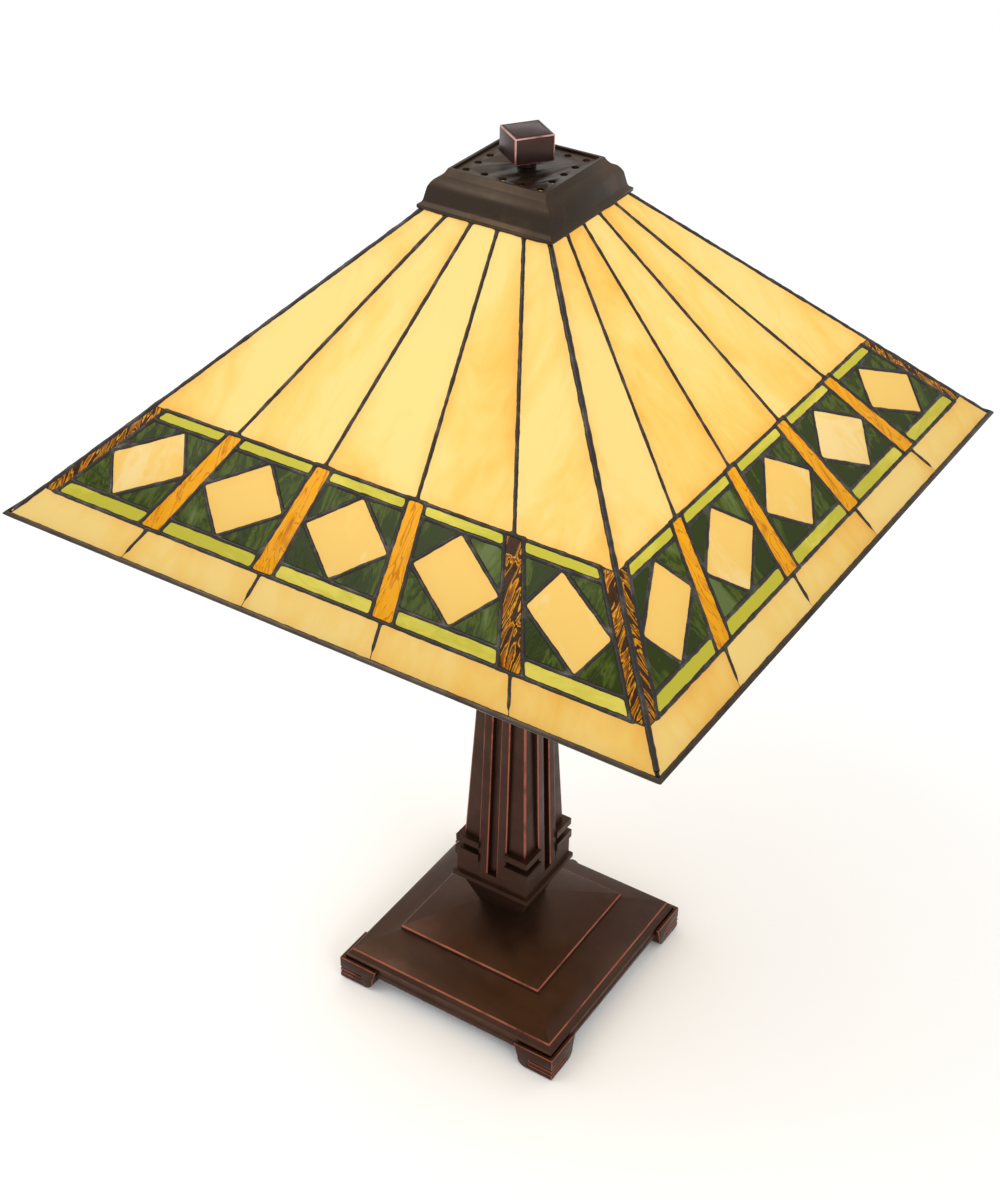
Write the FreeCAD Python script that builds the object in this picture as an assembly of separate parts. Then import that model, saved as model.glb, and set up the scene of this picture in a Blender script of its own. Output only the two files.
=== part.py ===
import FreeCAD, Part
import math
import os

V = FreeCAD.Vector
Z_AXIS = V(0, 0, 1)
FACES = ("front", "right", "back", "left")
SIDES = (("left", -1), ("right", 1))

# All sizes are in millimetres. The origin is on the table under the middle of the base; +Z is up
# and the shade's four faces look along -Y (front), +X (right), +Y (back) and -X (left).

# ---- shade: a square pyramid of leaded glass, open below
SHADE_BOTTOM_Z = 391.0      # height of the glass's lower edge above the table
SHADE_HALF = 203.2          # half width of the glass at its lower edge
SHADE_TOP_HALF = 39.2       # half width of the glass under the heat cap
SHADE_RISE = 159.4          # height of the glass, lower edge to upper edge
BAND_BOTTOM = 21.2          # patterned band, measured up the slope from the lower edge
BAND_TOP = 83.7
COLUMNS = 5                 # glass columns on each face
BAR_TOP = 10.9              # amber bar between its two solder lines, at the band's top
BAR_BOTTOM = 14.4           # the same at the band's bottom
HIP_BAR = 9.5               # half bar beside each hip, measured level
STRIP_TOP = 7.1             # lime strip along the band's top, with its share of solder
STRIP_BOTTOM = 9.0
GLASS_T = 2.4               # thickness of the sheet glass
LEAD_OUT = 0.8              # solder lattice standing proud of the glass outside
LEAD_IN = 0.6               # and inside
FIELD_LINE = 2.2            # width of the solder lines between the large panes
BAND_LINE = 2.7             # width of the solder lines in and beside the band
HIP_CLEAR = 0.14            # glass edge beyond the mitre that two faces' panes need at the hip
HIP_LAP = 0.4               # lattice over the glass beside the hip
EDGE_COVER = 2.4            # lattice left along the top and bottom edges
GLASS_SLOT_GAP = 0.3        # clearance round the edge of each pane in its slot
HIP_BEAD_LEG = 2.1          # hip bead: width on each face
HIP_BEAD_T = 1.1            # hip bead: thickness
RIM_HEIGHT = 1.6            # channel round the lower edge: height up the glass
RIM_T = 0.8                 # channel wall
PIECE_GAP = 0.1             # air between pieces of one body that only meet when soldered

# ---- heat cap, spider and finial
CAP_RISE = 20.0             # cap: flange to lip
CAP_FLANGE_OVER = 1.4       # flange past the glass's upper edge
CAP_BAND_IN = 2.4           # upright band, set in from the flange
CAP_SHOULDER_IN = 4.0       # top of the band, set in from the flange
CAP_LIP_IN = 11.8           # lip round the top plate, set in from the flange
CAP_WALL = 1.6
CAP_SINK = 1.4              # top plate below the lip
CAP_FLANGE_T = 1.6          # flange thickness
CAP_FILLET = 0.6            # small cove between the flange and the band
CAP_BAND_AT = 0.2           # band's foot and shoulder, as shares of the cap's rise
CAP_SHOULDER_AT = 0.55
CAP_OGEE = 0.9              # swell of the slope above and below a straight line
CAP_OGEE_STEPS = 6
VENT_R = 2.0
VENT_COUNT = 5              # vents along each side of the plate, corners shared
VENT_HALF = 22.6            # vent row to the middle
SPIDER_T = 4.0              # spider hub thickness
SPIDER_HUB_R = 12.0
SPIDER_BELOW_TOP = 7.6      # spider's underside below the glass's upper edge
SPIDER_ARM_W = 8.0
SPIDER_ARM_T = 2.5
SPIDER_STRIP = 14.0         # strip soldered inside the glass, measured up the slope
SPIDER_STRIP_T = 1.5
FINIAL_HALF = 11.4
FINIAL_HEIGHT = 14.7
FINIAL_NECK = 4.4           # round neck between the cap's plate and the finial
FINIAL_TURN = 54.5          # how the square finial stands against the cap, in degrees
FINIAL_EDGE_R = 1.0
INSERT_WALL = 1.8           # threaded insert in the finial, which ends in the neck
FINIAL_BORE = 0.75          # depths in the finial, as shares of its height: hole, insert
FINIAL_INSERT = 0.6

# ---- rod and pipe
STUD_R = 3.1                # stud that carries the shade and the finial
STUD_FIT = 0.08             # running clearance of the shade and finial on the stud
BODY_GAP = 0.3              # air between pieces that turn against each other
PIPE_R = 4.8                # threaded lamp pipe and riser rod
PIPE_WALL = 1.2
PIPE_CLEAR = 0.3            # holes the pipe only passes through
PIPE_BELOW = 6.0            # room for the nut and the pipe's end below the washer
PIPE_END_IN = 0.5           # pipe's end above the cover
CUT_PAST = 1.0              # how far a cutting shape runs past the face it opens

# ---- light cluster
SOCKET_OFFSET = 40.0        # socket axis to the rod
SOCKET_R = 17.0
SOCKET_T = 0.7
SOCKET_CAP_H = 18.0
SOCKET_SHELL_H = 46.0
SOCKET_LAP = 2.0            # shell inside the cap
SOCKET_BEAD_H = 3.0         # rolled bead round the shell's mouth
SOCKET_BELOW_BULB = 1.0     # shell's mouth below the bulb's seat
CUP_OUTLINE = (             # socket cap's outline, as shares of its radius and height
    (0.45, 0.0), (0.45, 0.17), (0.67, 0.28), (0.88, 0.5), (1.0, 0.72), (1.0, 1.0),
)
INSULATOR_LAP = 1.0         # insulator below the cap's top
INSULATOR_IN = 0.5          # insulator's rim below the shell's mouth
CONTACT_ROOM = 3.0          # from the bulb's tip down to the insulator's floor
CONTACT_T = 1.0
SCREW_R = 13.0              # bulb base
SCREW_GAP = 0.4             # bulb base inside the screw shell
SCREW_T = 0.5
BULB_BASE_H = 26.0
BULB_R = 29.5
BULB_H = 83.0               # envelope above the base
BULB_WALL = 1.0
BULB_NECK_IN = 0.6          # envelope's neck inside the base
BULB_NECK_SHARE = 0.16      # height at which the neck starts to swell
BULB_JOIN = -40.0           # where the neck's curve meets the globe, degrees below its middle
TIP_H = 2.0                 # centre contact under the base
TIP_R = 3.5
TIP_GLASS_R = 5.0           # insulating ring round it
BULB_HEADROOM = 26.0        # bulb top to the spider
HUB_HALF_W = 12.0           # cluster arm, half width
HUB_H = 12.0
HUB_WALL = 3.0
HUB_BOSS_H = 4.0            # round boss under the arm
NIPPLE_R = 5.0              # nipple that screws each socket to the arm
CHAIN_BALL_R = 1.6
CHAIN_LINK_R = 0.6
CHAIN_PITCH = 4.0
CHAIN_BALLS = 13
CHAIN_OUT = 27.0            # chain to the socket axis
CHAIN_UP = 8.0              # chain guide above the socket's cap
CHAIN_BELL_R = 3.4          # guide that the chain comes out of
CHAIN_ROOF = 1.2            # chain's hole runs this far past the guide's axis
CHAIN_PULL_H = 12.0
PULL_OUTLINE = ((3.0, 0.8), (3.6, 2.5), (2.4, 7.0), (1.2, 12.0))

# ---- column
COLUMN_NECK = 18.0          # column top to the cluster arm
COLUMN_TOP_HALF = 12.2
SHAFT_HALF = 24.4           # corner piers at the shaft's foot
SHAFT_Z = 91.0              # where the shaft starts
PANEL_HALF = (26.5, 17.0)   # panels standing proud of the piers: to the middle, at foot and top
PANEL_WIDE = (10.8, 8.0)    # half width of a panel, at foot and top
SLOT_WIDE = (3.4, 2.6)      # half width of the slot in it
SLOT_DEPTH = 3.6
COLLARS = (                 # square collars on the corner piers: half width, from z, to z
    (27.6, 98.5, 104.5),
    (27.2, 109.5, 114.5),
)
BAND_HALF = 26.6            # plain band under the collars
MOULD_HALF = 28.7           # moulding under the plain band
MOULD_H = 5.0
MOULD_EASE = (0.4, 1.2)     # its sloping lower and upper edges, in height
FOOT_TAPER_H = 26.0         # the column's foot narrows down to the base
FOOT_HALF = 16.0
FOOT_SHOULDER = 25.0
CORE_R = 8.0                # cored out inside
CORE_LAND = 14.0            # solid length left under the core
CORE_SHARE = 0.55           # top of the core, as a share of the column's height
COLLAR_HALF = 18.6          # square collar on the column's top
COLLAR_H = 10.0
COLLAR_FLARE = 3.0          # height of its flare, and of the band above it
NUT_H = 5.0
NUT_R = 8.5
THIN_NUT = 0.6              # the nut on the column is this share of the other's height

# ---- base
BASE_HALF = 81.0            # plate, at its widest edge
PLATE_BOTTOM = 12.0         # plate's underside above the table
PLATE_EDGE_H = 8.3
PLATE_STEP_IN = 3.4         # the slope starts in from the edge
PLATE_STEP_H = 4.7
EDGE_MOULD = (              # moulded edge: in from the widest part, above the underside
    (0.6, 0.0), (0.0, 1.0), (0.0, 3.0), (0.9, 4.0), (0.4, 7.3), (0.4, 8.3), (1.8, 9.1),
    (2.4, 10.7), (3.4, 11.8),
)
SLOPE_CROWN = 0.5           # swell in the middle of the plate's slope
TIER_HALF = 53.8            # upper tier
TIER_Z = 36.0
TIER_STEP = 3.2
BASE_TOP_Z = 54.0           # where the column stands
BASE_WALL = 6.0
BOSS_HALF = 12.0            # boss round the pipe inside the base
COVER_T = 1.5
COVER_EDGE = 2.0            # rebate that the cover lies in
BALLAST_HALF = 50.0
BALLAST_H = 6.0
WASHER_R = 14.0
WASHER_T = 1.5
SCREW_AT = 63.0             # cover screws, from the middle along X and along Y
SCREW_SHANK_R = 2.0
SCREW_HEAD_R = 3.6
SCREW_HEAD_H = 1.8
SCREW_BOSS_R = 4.5
SCREW_CLEAR = 0.1
SCREW_EDGE = 0.7            # flat of the screw's head, as a share of its radius
SCREW_SLOT = 1.0
SCREW_GRIP = 1.0            # screw's end above the plate's edge
INLET_Z = 17.4              # cord inlet in the back edge
INLET_R = 2.6
BUSHING_WALL = 1.0
BUSHING_FLANGE = 1.1
BUSHING_FLANGE_T = 1.6
BUSHING_SINK = 1.0          # flange let into the edge
BUSHING_PAST = 1.0          # bush past the wall, inside

# ---- feet
FOOT_OUT = 2.5              # feet past the plate's edge
FOOT_TOP_Z = 18.5
FOOT_LEG = 29.0             # length along each face
FOOT_DEPTH = 10.0
FOOT_SCALLOP_R = 6.0
FOOT_TOE = 1.6              # scallop in the leg's end, in scallop radii: where it leaves the floor
FOOT_SWELL = (0.75, 0.35)   # a point on its arc
FOOT_HEEL = (0.5, 1.1)      # and where it ends
FOOT_LINE_W = 17.0          # moulded lines, from the corner
FOOT_LINE_Z = (5.2, 8.6)
FOOT_LINE_H = 1.2
FOOT_LINE_DEPTH = 0.8
PAD_T = 1.2                 # felt under each foot
PAD_IN = 1.5

# ---- places that follow from the sizes above
RUN = SHADE_HALF - SHADE_TOP_HALF
SLANT = math.hypot(RUN, SHADE_RISE)
COS = RUN / SLANT
SIN = SHADE_RISE / SLANT
GLASS_TOP_Z = SHADE_BOTTOM_Z + SHADE_RISE
HIP_MITRE = math.sqrt((1 - COS * COS) / (1 + COS * COS))    # tangent of half the turn at a hip
HIP_GLASS_GAP = GLASS_T * HIP_MITRE + HIP_CLEAR
HIP_COVER = HIP_GLASS_GAP + HIP_LAP
SPIDER_Z = GLASS_TOP_Z - SPIDER_BELOW_TOP
CAP_Z = GLASS_TOP_Z + LEAD_OUT * COS + PIECE_GAP
CAP_FLANGE_HALF = SHADE_TOP_HALF + LEAD_OUT * SIN + CAP_FLANGE_OVER
CAP_LIP_HALF = CAP_FLANGE_HALF - CAP_LIP_IN
CAP_PLATE_Z = CAP_Z + CAP_RISE - CAP_SINK
FINIAL_Z = CAP_PLATE_Z + BODY_GAP + FINIAL_NECK
BULB_TOP_Z = SPIDER_Z - BULB_HEADROOM
BULB_SEAT_Z = BULB_TOP_Z - BULB_H
SOCKET_TOP_Z = BULB_SEAT_Z - SOCKET_BELOW_BULB
SOCKET_Z = SOCKET_TOP_Z - SOCKET_SHELL_H - SOCKET_CAP_H + SOCKET_LAP
CHAIN_Z = SOCKET_Z + SOCKET_CAP_H + CHAIN_UP
CONTACT_Z = BULB_SEAT_Z - BULB_BASE_H - CONTACT_ROOM
HUB_Z = SOCKET_Z - HUB_H
COLUMN_TOP_Z = HUB_Z - COLUMN_NECK
MOULD_Z = BASE_TOP_Z + FOOT_TAPER_H
BALLAST_Z = PLATE_BOTTOM + COVER_T + WASHER_T + PIPE_BELOW


# ---------------------------------------------------------------- helpers

def polygon_face(points):
    return Part.Face(Part.makePolygon(points + [points[0]]))


def closed_solid(faces):
    """A solid from planar faces that close on each other."""
    solid = Part.Solid(Part.Shell(faces))
    if solid.Volume < 0:
        solid.reverse()
    return solid


def lofted(sections):
    """A solid through level outlines whose matching edges are parallel, so every side is flat."""
    faces = [polygon_face(sections[0]), polygon_face(sections[-1])]
    for low, high in zip(sections, sections[1:]):
        for i in range(len(low)):
            j = (i + 1) % len(low)
            faces.append(polygon_face([low[i], low[j], high[j], high[i]]))
    return closed_solid(faces)


def square_at(half, z):
    return [V(-half, -half, z), V(half, -half, z), V(half, half, z), V(-half, half, z)]


def square_solid(profile):
    """A square turned shape: (half width, height) from the bottom to the top."""
    return lofted([square_at(half, z) for half, z in profile])


def square_ring(profile):
    """A mitred square ring from a closed (half width, height) section."""
    faces = []
    for i in range(len(profile)):
        low = square_at(*profile[i])
        high = square_at(*profile[(i + 1) % len(profile)])
        for k in range(4):
            j = (k + 1) % 4
            faces.append(polygon_face([low[k], low[j], high[j], high[k]]))
    return closed_solid(faces)


def box(x0, x1, y0, y1, z0, z1):
    return Part.makeBox(x1 - x0, y1 - y0, z1 - z0, V(x0, y0, z0))


def rod(radius, z0, z1, x=0.0, y=0.0):
    return Part.makeCylinder(radius, z1 - z0, V(x, y, z0))


def tube(outer, inner, z0, z1, x=0.0, y=0.0):
    return rod(outer, z0, z1, x, y).cut(rod(inner, z0, z1, x, y))


def turned(profile, x=0.0, y=0.0):
    """A round shape from a closed (radius, height) outline."""
    solid = polygon_face([V(r, 0, z) for r, z in profile]).revolve(V(0, 0, 0), Z_AXIS, 360)
    solid.translate(V(x, y, 0))
    return solid


def around(shape, count=4):
    """Copies of a shape, turned about the lamp's axis."""
    copies = []
    for k in range(count):
        copy = shape.copy()
        copy.rotate(V(0, 0, 0), Z_AXIS, 360.0 * k / count)
        copies.append(copy)
    return copies


def turned_to(shape, face):
    copy = shape.copy()
    copy.rotate(V(0, 0, 0), Z_AXIS, 90.0 * FACES.index(face))
    return copy


def export(name, shapes):
    solids = [solid for shape in shapes for solid in shape.Solids]
    result = solids[0] if len(solids) == 1 else Part.makeCompound(solids)
    result.exportStep("parts/" + name + ".step")


def inset(outline, gaps):
    """A convex outline with each edge moved inwards by its own gap; outlines run anticlockwise."""
    lines = []
    for i, (x0, y0) in enumerate(outline):
        x1, y1 = outline[(i + 1) % len(outline)]
        length = math.hypot(x1 - x0, y1 - y0)
        nx, ny = (y0 - y1) / length, (x1 - x0) / length
        lines.append((nx, ny, nx * x0 + ny * y0 + gaps[i]))
    corners = []
    for (a, b, c), (d, e, f) in zip(lines[-1:] + lines[:-1], lines):
        cross = a * e - b * d
        corners.append(((c * e - b * f) / cross, (a * f - c * d) / cross))
    return corners


# ---------------------------------------------------------------- shade

def half_at(t):
    """Half width of a face, t up the slope from the lower edge."""
    return SHADE_HALF - t * COS


def section(t, n):
    """(half width, height) of a point t up the slope and n out of the glass's outer face."""
    return half_at(t) + n * SIN, SHADE_BOTTOM_Z + t * SIN + n * COS


def face_point(s, t, n):
    half, z = section(t, n)
    return V(s, -half, z)


def slab(outline, n0, n1):
    """A flat plate lying in the front face."""
    out = V(0, -SIN, COS)
    return polygon_face([face_point(s, t, n0) for s, t in outline]).extrude(out * (n1 - n0))


def seam(k, t):
    return half_at(t) * (2.0 * k / COLUMNS - 1.0)


def bar_half(t):
    share = (t - BAND_BOTTOM) / (BAND_TOP - BAND_BOTTOM)
    return (BAR_BOTTOM + (BAR_TOP - BAR_BOTTOM) * share) / 2


def bar_edge(k, side, t):
    """Edge of amber bar k; the bars beside the hips are half bars."""
    if k == 0:
        return -half_at(t) + (HIP_BAR if side > 0 else 0.0)
    if k == COLUMNS:
        return half_at(t) - (HIP_BAR if side < 0 else 0.0)
    return seam(k, t) + side * bar_half(t)


def four_sided(left, right, t0, t1):
    return [(left(t0), t0), (right(t0), t0), (right(t1), t1), (left(t1), t1)]


def column_panes(t0, t1, low_cover, high_cover):
    """Panes of the field or the skirt: (outline, solder cover on each edge, hip edges)."""
    panes = []
    for k in range(COLUMNS):
        outline = four_sided(lambda t: seam(k, t), lambda t: seam(k + 1, t), t0, t1)
        hips = (False, k == COLUMNS - 1, False, k == 0)
        covers = [low_cover, FIELD_LINE / 2, high_cover, FIELD_LINE / 2]
        panes.append((outline, covers, hips))
    return panes


def bar_panes():
    panes = []
    for k in range(COLUMNS + 1):
        outline = four_sided(lambda t: bar_edge(k, -1, t), lambda t: bar_edge(k, 1, t),
                             BAND_BOTTOM, BAND_TOP)
        panes.append((outline, [BAND_LINE / 2] * 4, (False, k == COLUMNS, False, k == 0)))
    return panes


def cell_panes():
    """The band between two bars: lime strips, a diamond and four green corner triangles."""
    strips, diamonds, triangles = [], [], []
    low, high = BAND_BOTTOM + STRIP_BOTTOM, BAND_TOP - STRIP_TOP
    for k in range(COLUMNS):
        def left(t):
            return bar_edge(k, 1, t)

        def right(t):
            return bar_edge(k + 1, -1, t)

        strips.append(four_sided(left, right, BAND_BOTTOM, low))
        strips.append(four_sided(left, right, high, BAND_TOP))
        a, b, c, d = four_sided(left, right, low, high)
        ab, bc, cd, da = [((p[0] + q[0]) / 2, (p[1] + q[1]) / 2)
                          for p, q in ((a, b), (b, c), (c, d), (d, a))]
        diamonds.append([ab, bc, cd, da])
        triangles += [[a, ab, da], [ab, b, bc], [bc, c, cd], [da, cd, d]]
    cover = BAND_LINE / 2
    return [[(outline, [cover] * len(outline), (False,) * len(outline)) for outline in group]
            for group in (strips, diamonds, triangles)]


def pane_solid(pane):
    outline, _, hips = pane
    gaps = [HIP_GLASS_GAP if hip else GLASS_SLOT_GAP for hip in hips]
    return slab(inset(outline, gaps), -GLASS_T, 0.0)


def pane_slot(pane):
    outline, _, hips = pane
    gaps = [HIP_GLASS_GAP if hip else 0.0 for hip in hips]
    return slab(inset(outline, gaps), -GLASS_T, 0.0)


def pane_window(pane):
    outline, covers, hips = pane
    gaps = [HIP_COVER if hip else cover for cover, hip in zip(covers, hips)]
    return slab(inset(outline, gaps), -GLASS_T - LEAD_IN, LEAD_OUT)


def solder_lattice(panes):
    """Solder and came of one face: a plate with a window and a slot for every pane."""
    plate = slab(four_sided(lambda t: -half_at(t) - LEAD_OUT, lambda t: half_at(t) + LEAD_OUT,
                            0.0, SLANT), -GLASS_T - LEAD_IN, LEAD_OUT)
    reach = SHADE_HALF + 2 * LEAD_OUT
    quarter = polygon_face([V(0, -PIECE_GAP, 0), V(-reach, -reach - PIECE_GAP, 0),
                            V(reach, -reach - PIECE_GAP, 0)])
    plate = plate.common(quarter.extrude(V(0, 0, GLASS_TOP_Z + CAP_RISE)))
    windows = [pane_window(pane) for pane in panes]
    slots = [pane_slot(pane).common(plate) for pane in panes]
    plate = plate.cut(Part.makeCompound(windows))
    for slot in slots:
        plate = plate.cut(slot)
    return plate


def hip_bead():
    """Bead of solder over the hip between the front and right faces."""
    inner = SHADE_HALF + LEAD_OUT * SIN + LEAD_OUT * COS * COS / SIN
    start = (RIM_HEIGHT + RIM_T) * SIN + (LEAD_OUT + RIM_T) * COS + PIECE_GAP
    shift = start * COS / SIN
    end = SHADE_RISE + LEAD_OUT * COS - PIECE_GAP
    i = inner - shift
    o = i + HIP_BEAD_T / SIN
    leg = i - HIP_BEAD_LEG
    z = SHADE_BOTTOM_Z + start
    outline = [V(o, -o, z), V(o, -leg, z), V(i, -leg, z), V(i, -i, z), V(leg, -i, z), V(leg, -o, z)]
    rise = end - start
    return polygon_face(outline).extrude(V(-rise * COS / SIN, rise * COS / SIN, rise))


def rim_channel():
    """U-shaped channel round the shade's lower edge."""
    outer, inner = LEAD_OUT, -GLASS_T - LEAD_IN
    profile = [(RIM_HEIGHT, outer), (RIM_HEIGHT, outer + RIM_T), (-RIM_T, outer + RIM_T),
               (-RIM_T, inner - RIM_T), (RIM_HEIGHT, inner - RIM_T), (RIM_HEIGHT, inner),
               (0.0, inner), (0.0, outer)]
    return square_ring([section(t, n) for t, n in profile])


def shade_spider():
    """Square strip inside the top of the glass, with four arms to a hub on the stud."""
    outside = -GLASS_T - LEAD_IN
    middle = (SPIDER_Z + SPIDER_ARM_T / 2 - SHADE_BOTTOM_Z) / SIN
    low, high = middle - SPIDER_STRIP / 2, min(middle + SPIDER_STRIP / 2, SLANT)
    strip = square_ring([section(t, n) for t, n in (
        (low, outside), (high, outside), (high, outside - SPIDER_STRIP_T),
        (low, outside - SPIDER_STRIP_T))])
    ends = [section(t, outside - SPIDER_STRIP_T / 2) for t in (low, high)]
    reach, half = ends[0][0], SPIDER_ARM_W / 2
    top = SPIDER_Z + SPIDER_ARM_T
    arms = [box(-reach, reach, -half, half, SPIDER_Z, top),
            box(-half, half, -reach, reach, SPIDER_Z, top)]
    hub = rod(SPIDER_HUB_R, SPIDER_Z, SPIDER_Z + SPIDER_T)
    whole = strip.fuse([hub] + [arm.common(square_solid(ends)) for arm in arms])
    return whole.cut(rod(STUD_R + STUD_FIT, SPIDER_Z - SPIDER_T, SPIDER_Z + 2 * SPIDER_T))


def heat_cap():
    """Hollow square cap: flange, band, ogee slope, lip and a sunk plate with vents."""
    flange = CAP_FLANGE_HALF
    band, shoulder = flange - CAP_BAND_IN, flange - CAP_SHOULDER_IN
    band_z, shoulder_z = CAP_Z + CAP_BAND_AT * CAP_RISE, CAP_Z + CAP_SHOULDER_AT * CAP_RISE
    lip_z = CAP_Z + CAP_RISE
    outer = [(flange, CAP_Z), (flange, CAP_Z + CAP_FLANGE_T),
             (band + CAP_FILLET, band_z - 2 * CAP_FILLET), (band, band_z), (shoulder, shoulder_z)]
    for i in range(1, CAP_OGEE_STEPS + 1):
        share = i / CAP_OGEE_STEPS
        wave = CAP_OGEE * math.sin(2 * math.pi * share)
        outer.append((shoulder + (CAP_LIP_HALF - shoulder) * share,
                      shoulder_z + (lip_z - shoulder_z) * share + wave))
    plate_under = CAP_PLATE_Z - CAP_WALL
    inner = [(band - CAP_WALL, CAP_Z), (band - CAP_WALL, band_z)]
    inner += [(half - CAP_WALL, z - CAP_WALL) for half, z in outer[4:-1] if z - CAP_WALL < plate_under]
    inner.append((min(inner[-1][0], CAP_LIP_HALF), plate_under))
    cap = square_solid(outer).cut(square_solid(inner))
    cap = cap.cut(square_solid([(CAP_LIP_HALF - CAP_WALL, CAP_PLATE_Z),
                                (CAP_LIP_HALF - CAP_WALL, lip_z + CUT_PAST)]))
    low, high = plate_under - CUT_PAST, CAP_PLATE_Z + CUT_PAST
    bores = [rod(STUD_R + STUD_FIT, low, high)]
    pitch = 2 * VENT_HALF / (VENT_COUNT - 1)
    for i in range(VENT_COUNT - 1):
        bores += around(rod(VENT_R, low, high, -VENT_HALF + i * pitch, -VENT_HALF))
    return cap.cut(Part.makeCompound(bores))


# ---------------------------------------------------------------- finial

def finial():
    top = FINIAL_Z + FINIAL_HEIGHT
    block = box(-FINIAL_HALF, FINIAL_HALF, -FINIAL_HALF, FINIAL_HALF, FINIAL_Z, top)
    block = block.makeFillet(FINIAL_EDGE_R, block.Edges)
    block.rotate(V(0, 0, 0), Z_AXIS, FINIAL_TURN)
    return block.cut(rod(STUD_R + STUD_FIT + INSERT_WALL, FINIAL_Z - CUT_PAST,
                         FINIAL_Z + FINIAL_HEIGHT * FINIAL_BORE))


def finial_insert():
    bore = STUD_R + STUD_FIT
    return tube(bore + INSERT_WALL, bore, FINIAL_Z - FINIAL_NECK,
                FINIAL_Z + FINIAL_HEIGHT * FINIAL_INSERT)


# ---------------------------------------------------------------- rods and cluster

def riser_rod():
    """Tube from the cluster up to the spider, with the solid stud in its top."""
    shoulder = SPIDER_Z - BODY_GAP
    stud_top = FINIAL_Z + FINIAL_HEIGHT * FINIAL_INSERT
    pipe = tube(PIPE_R, PIPE_R - PIPE_WALL, HUB_Z + HUB_H / 2, shoulder)
    plug = rod(PIPE_R - PIPE_WALL, shoulder - 2 * PIPE_R, shoulder)
    collar = rod(NUT_R, shoulder - NUT_H, shoulder).cut(rod(PIPE_R, shoulder - NUT_H, shoulder))
    stud = rod(STUD_R, shoulder - PIPE_R, stud_top)
    return pipe.fuse([plug, collar, stud])


def lamp_pipe():
    """Threaded pipe that clamps the ballast, the base, the column and the cluster together."""
    return tube(PIPE_R, PIPE_R - PIPE_WALL, BALLAST_Z - WASHER_T - PIPE_BELOW + PIPE_END_IN,
                HUB_Z + HUB_H / 2 - PIECE_GAP)


def hexagon_nut(z, height):
    corners = [V(NUT_R * math.cos(math.pi * k / 3), NUT_R * math.sin(math.pi * k / 3), z)
               for k in range(6)]
    nut = polygon_face(corners).extrude(V(0, 0, height))
    return nut.cut(rod(PIPE_R, z, z + height))


def cluster_body():
    """Hollow arm with rounded ends: the pipe enters below, the sockets screw on above."""
    top = HUB_Z + HUB_H

    def slot(half_width, z0, z1):
        body = box(-SOCKET_OFFSET, SOCKET_OFFSET, -half_width, half_width, z0, z1)
        ends = [rod(half_width, z0, z1, side * SOCKET_OFFSET) for _, side in SIDES]
        return body.fuse(ends).removeSplitter()

    arm = slot(HUB_HALF_W, HUB_Z, top)
    boss = rod(HUB_HALF_W, HUB_Z - HUB_BOSS_H, HUB_Z)
    arm = arm.fuse(boss).cut(slot(HUB_HALF_W - HUB_WALL, HUB_Z + HUB_WALL, top - HUB_WALL))
    arm = arm.cut(rod(PIPE_R, HUB_Z - HUB_BOSS_H - CUT_PAST, top + CUT_PAST))
    for _, side in SIDES:
        arm = arm.cut(rod(NIPPLE_R - PIPE_WALL, top - HUB_WALL - CUT_PAST, top + CUT_PAST,
                          side * SOCKET_OFFSET))
    return arm


def socket_cap(side):
    """Domed cap that closes the socket's foot."""
    x = side * SOCKET_OFFSET
    hole = NIPPLE_R - PIPE_WALL
    outer = [(across * (SOCKET_R + SOCKET_T), SOCKET_Z + up * SOCKET_CAP_H)
             for across, up in CUP_OUTLINE]
    top = outer[-1][1]
    inner = [(r - SOCKET_T, z + (SOCKET_T if z < top else 0.0)) for r, z in outer[1:]]
    profile = [(hole, SOCKET_Z)] + outer + inner[::-1] + [(hole, inner[0][1])]
    return turned(profile, x)


def socket_shell(side):
    """Brass shell with a bead round its mouth."""
    x = side * SOCKET_OFFSET
    shell = tube(SOCKET_R, SOCKET_R - SOCKET_T, SOCKET_Z + SOCKET_CAP_H - SOCKET_LAP, SOCKET_TOP_Z, x)
    bead = tube(SOCKET_R + SOCKET_T, SOCKET_R, SOCKET_TOP_Z - SOCKET_BEAD_H, SOCKET_TOP_Z, x)
    return shell.fuse(bead)


def chain_guide(side):
    """Short guide riveted to the shell's side, with the hole that the pull chain hangs through."""
    x = side * SOCKET_OFFSET
    guide = Part.makeCylinder(CHAIN_BELL_R, CHAIN_OUT + CHAIN_BELL_R, V(x, 0, CHAIN_Z), V(0, side, 0))
    guide = guide.cut(rod(SOCKET_R, CHAIN_Z - 2 * CHAIN_BELL_R, CHAIN_Z + 2 * CHAIN_BELL_R, x))
    throat = rod(CHAIN_BALL_R + 2 * BODY_GAP, CHAIN_Z - 2 * CHAIN_BELL_R, CHAIN_Z + CHAIN_ROOF,
                 x, side * CHAIN_OUT)
    return guide.cut(throat)


def screw_shell(side):
    """Inner shell that grips the bulb's base."""
    outer = SCREW_R + SCREW_GAP + SCREW_T
    return tube(outer, outer - SCREW_T, BULB_SEAT_Z - BULB_BASE_H, SOCKET_TOP_Z - SOCKET_BELOW_BULB,
                side * SOCKET_OFFSET)


def socket_insulator(side):
    """Insulating block and liner between the brass shell and the screw shell."""
    x = side * SOCKET_OFFSET
    liner = SOCKET_R - SOCKET_T - 2 * PIECE_GAP
    inner = SCREW_R + SCREW_GAP + SCREW_T
    block = rod(liner, SOCKET_Z + SOCKET_CAP_H - INSULATOR_LAP, SOCKET_TOP_Z - INSULATOR_IN, x)
    return block.cut(rod(inner, CONTACT_Z, SOCKET_TOP_Z, x))


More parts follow.
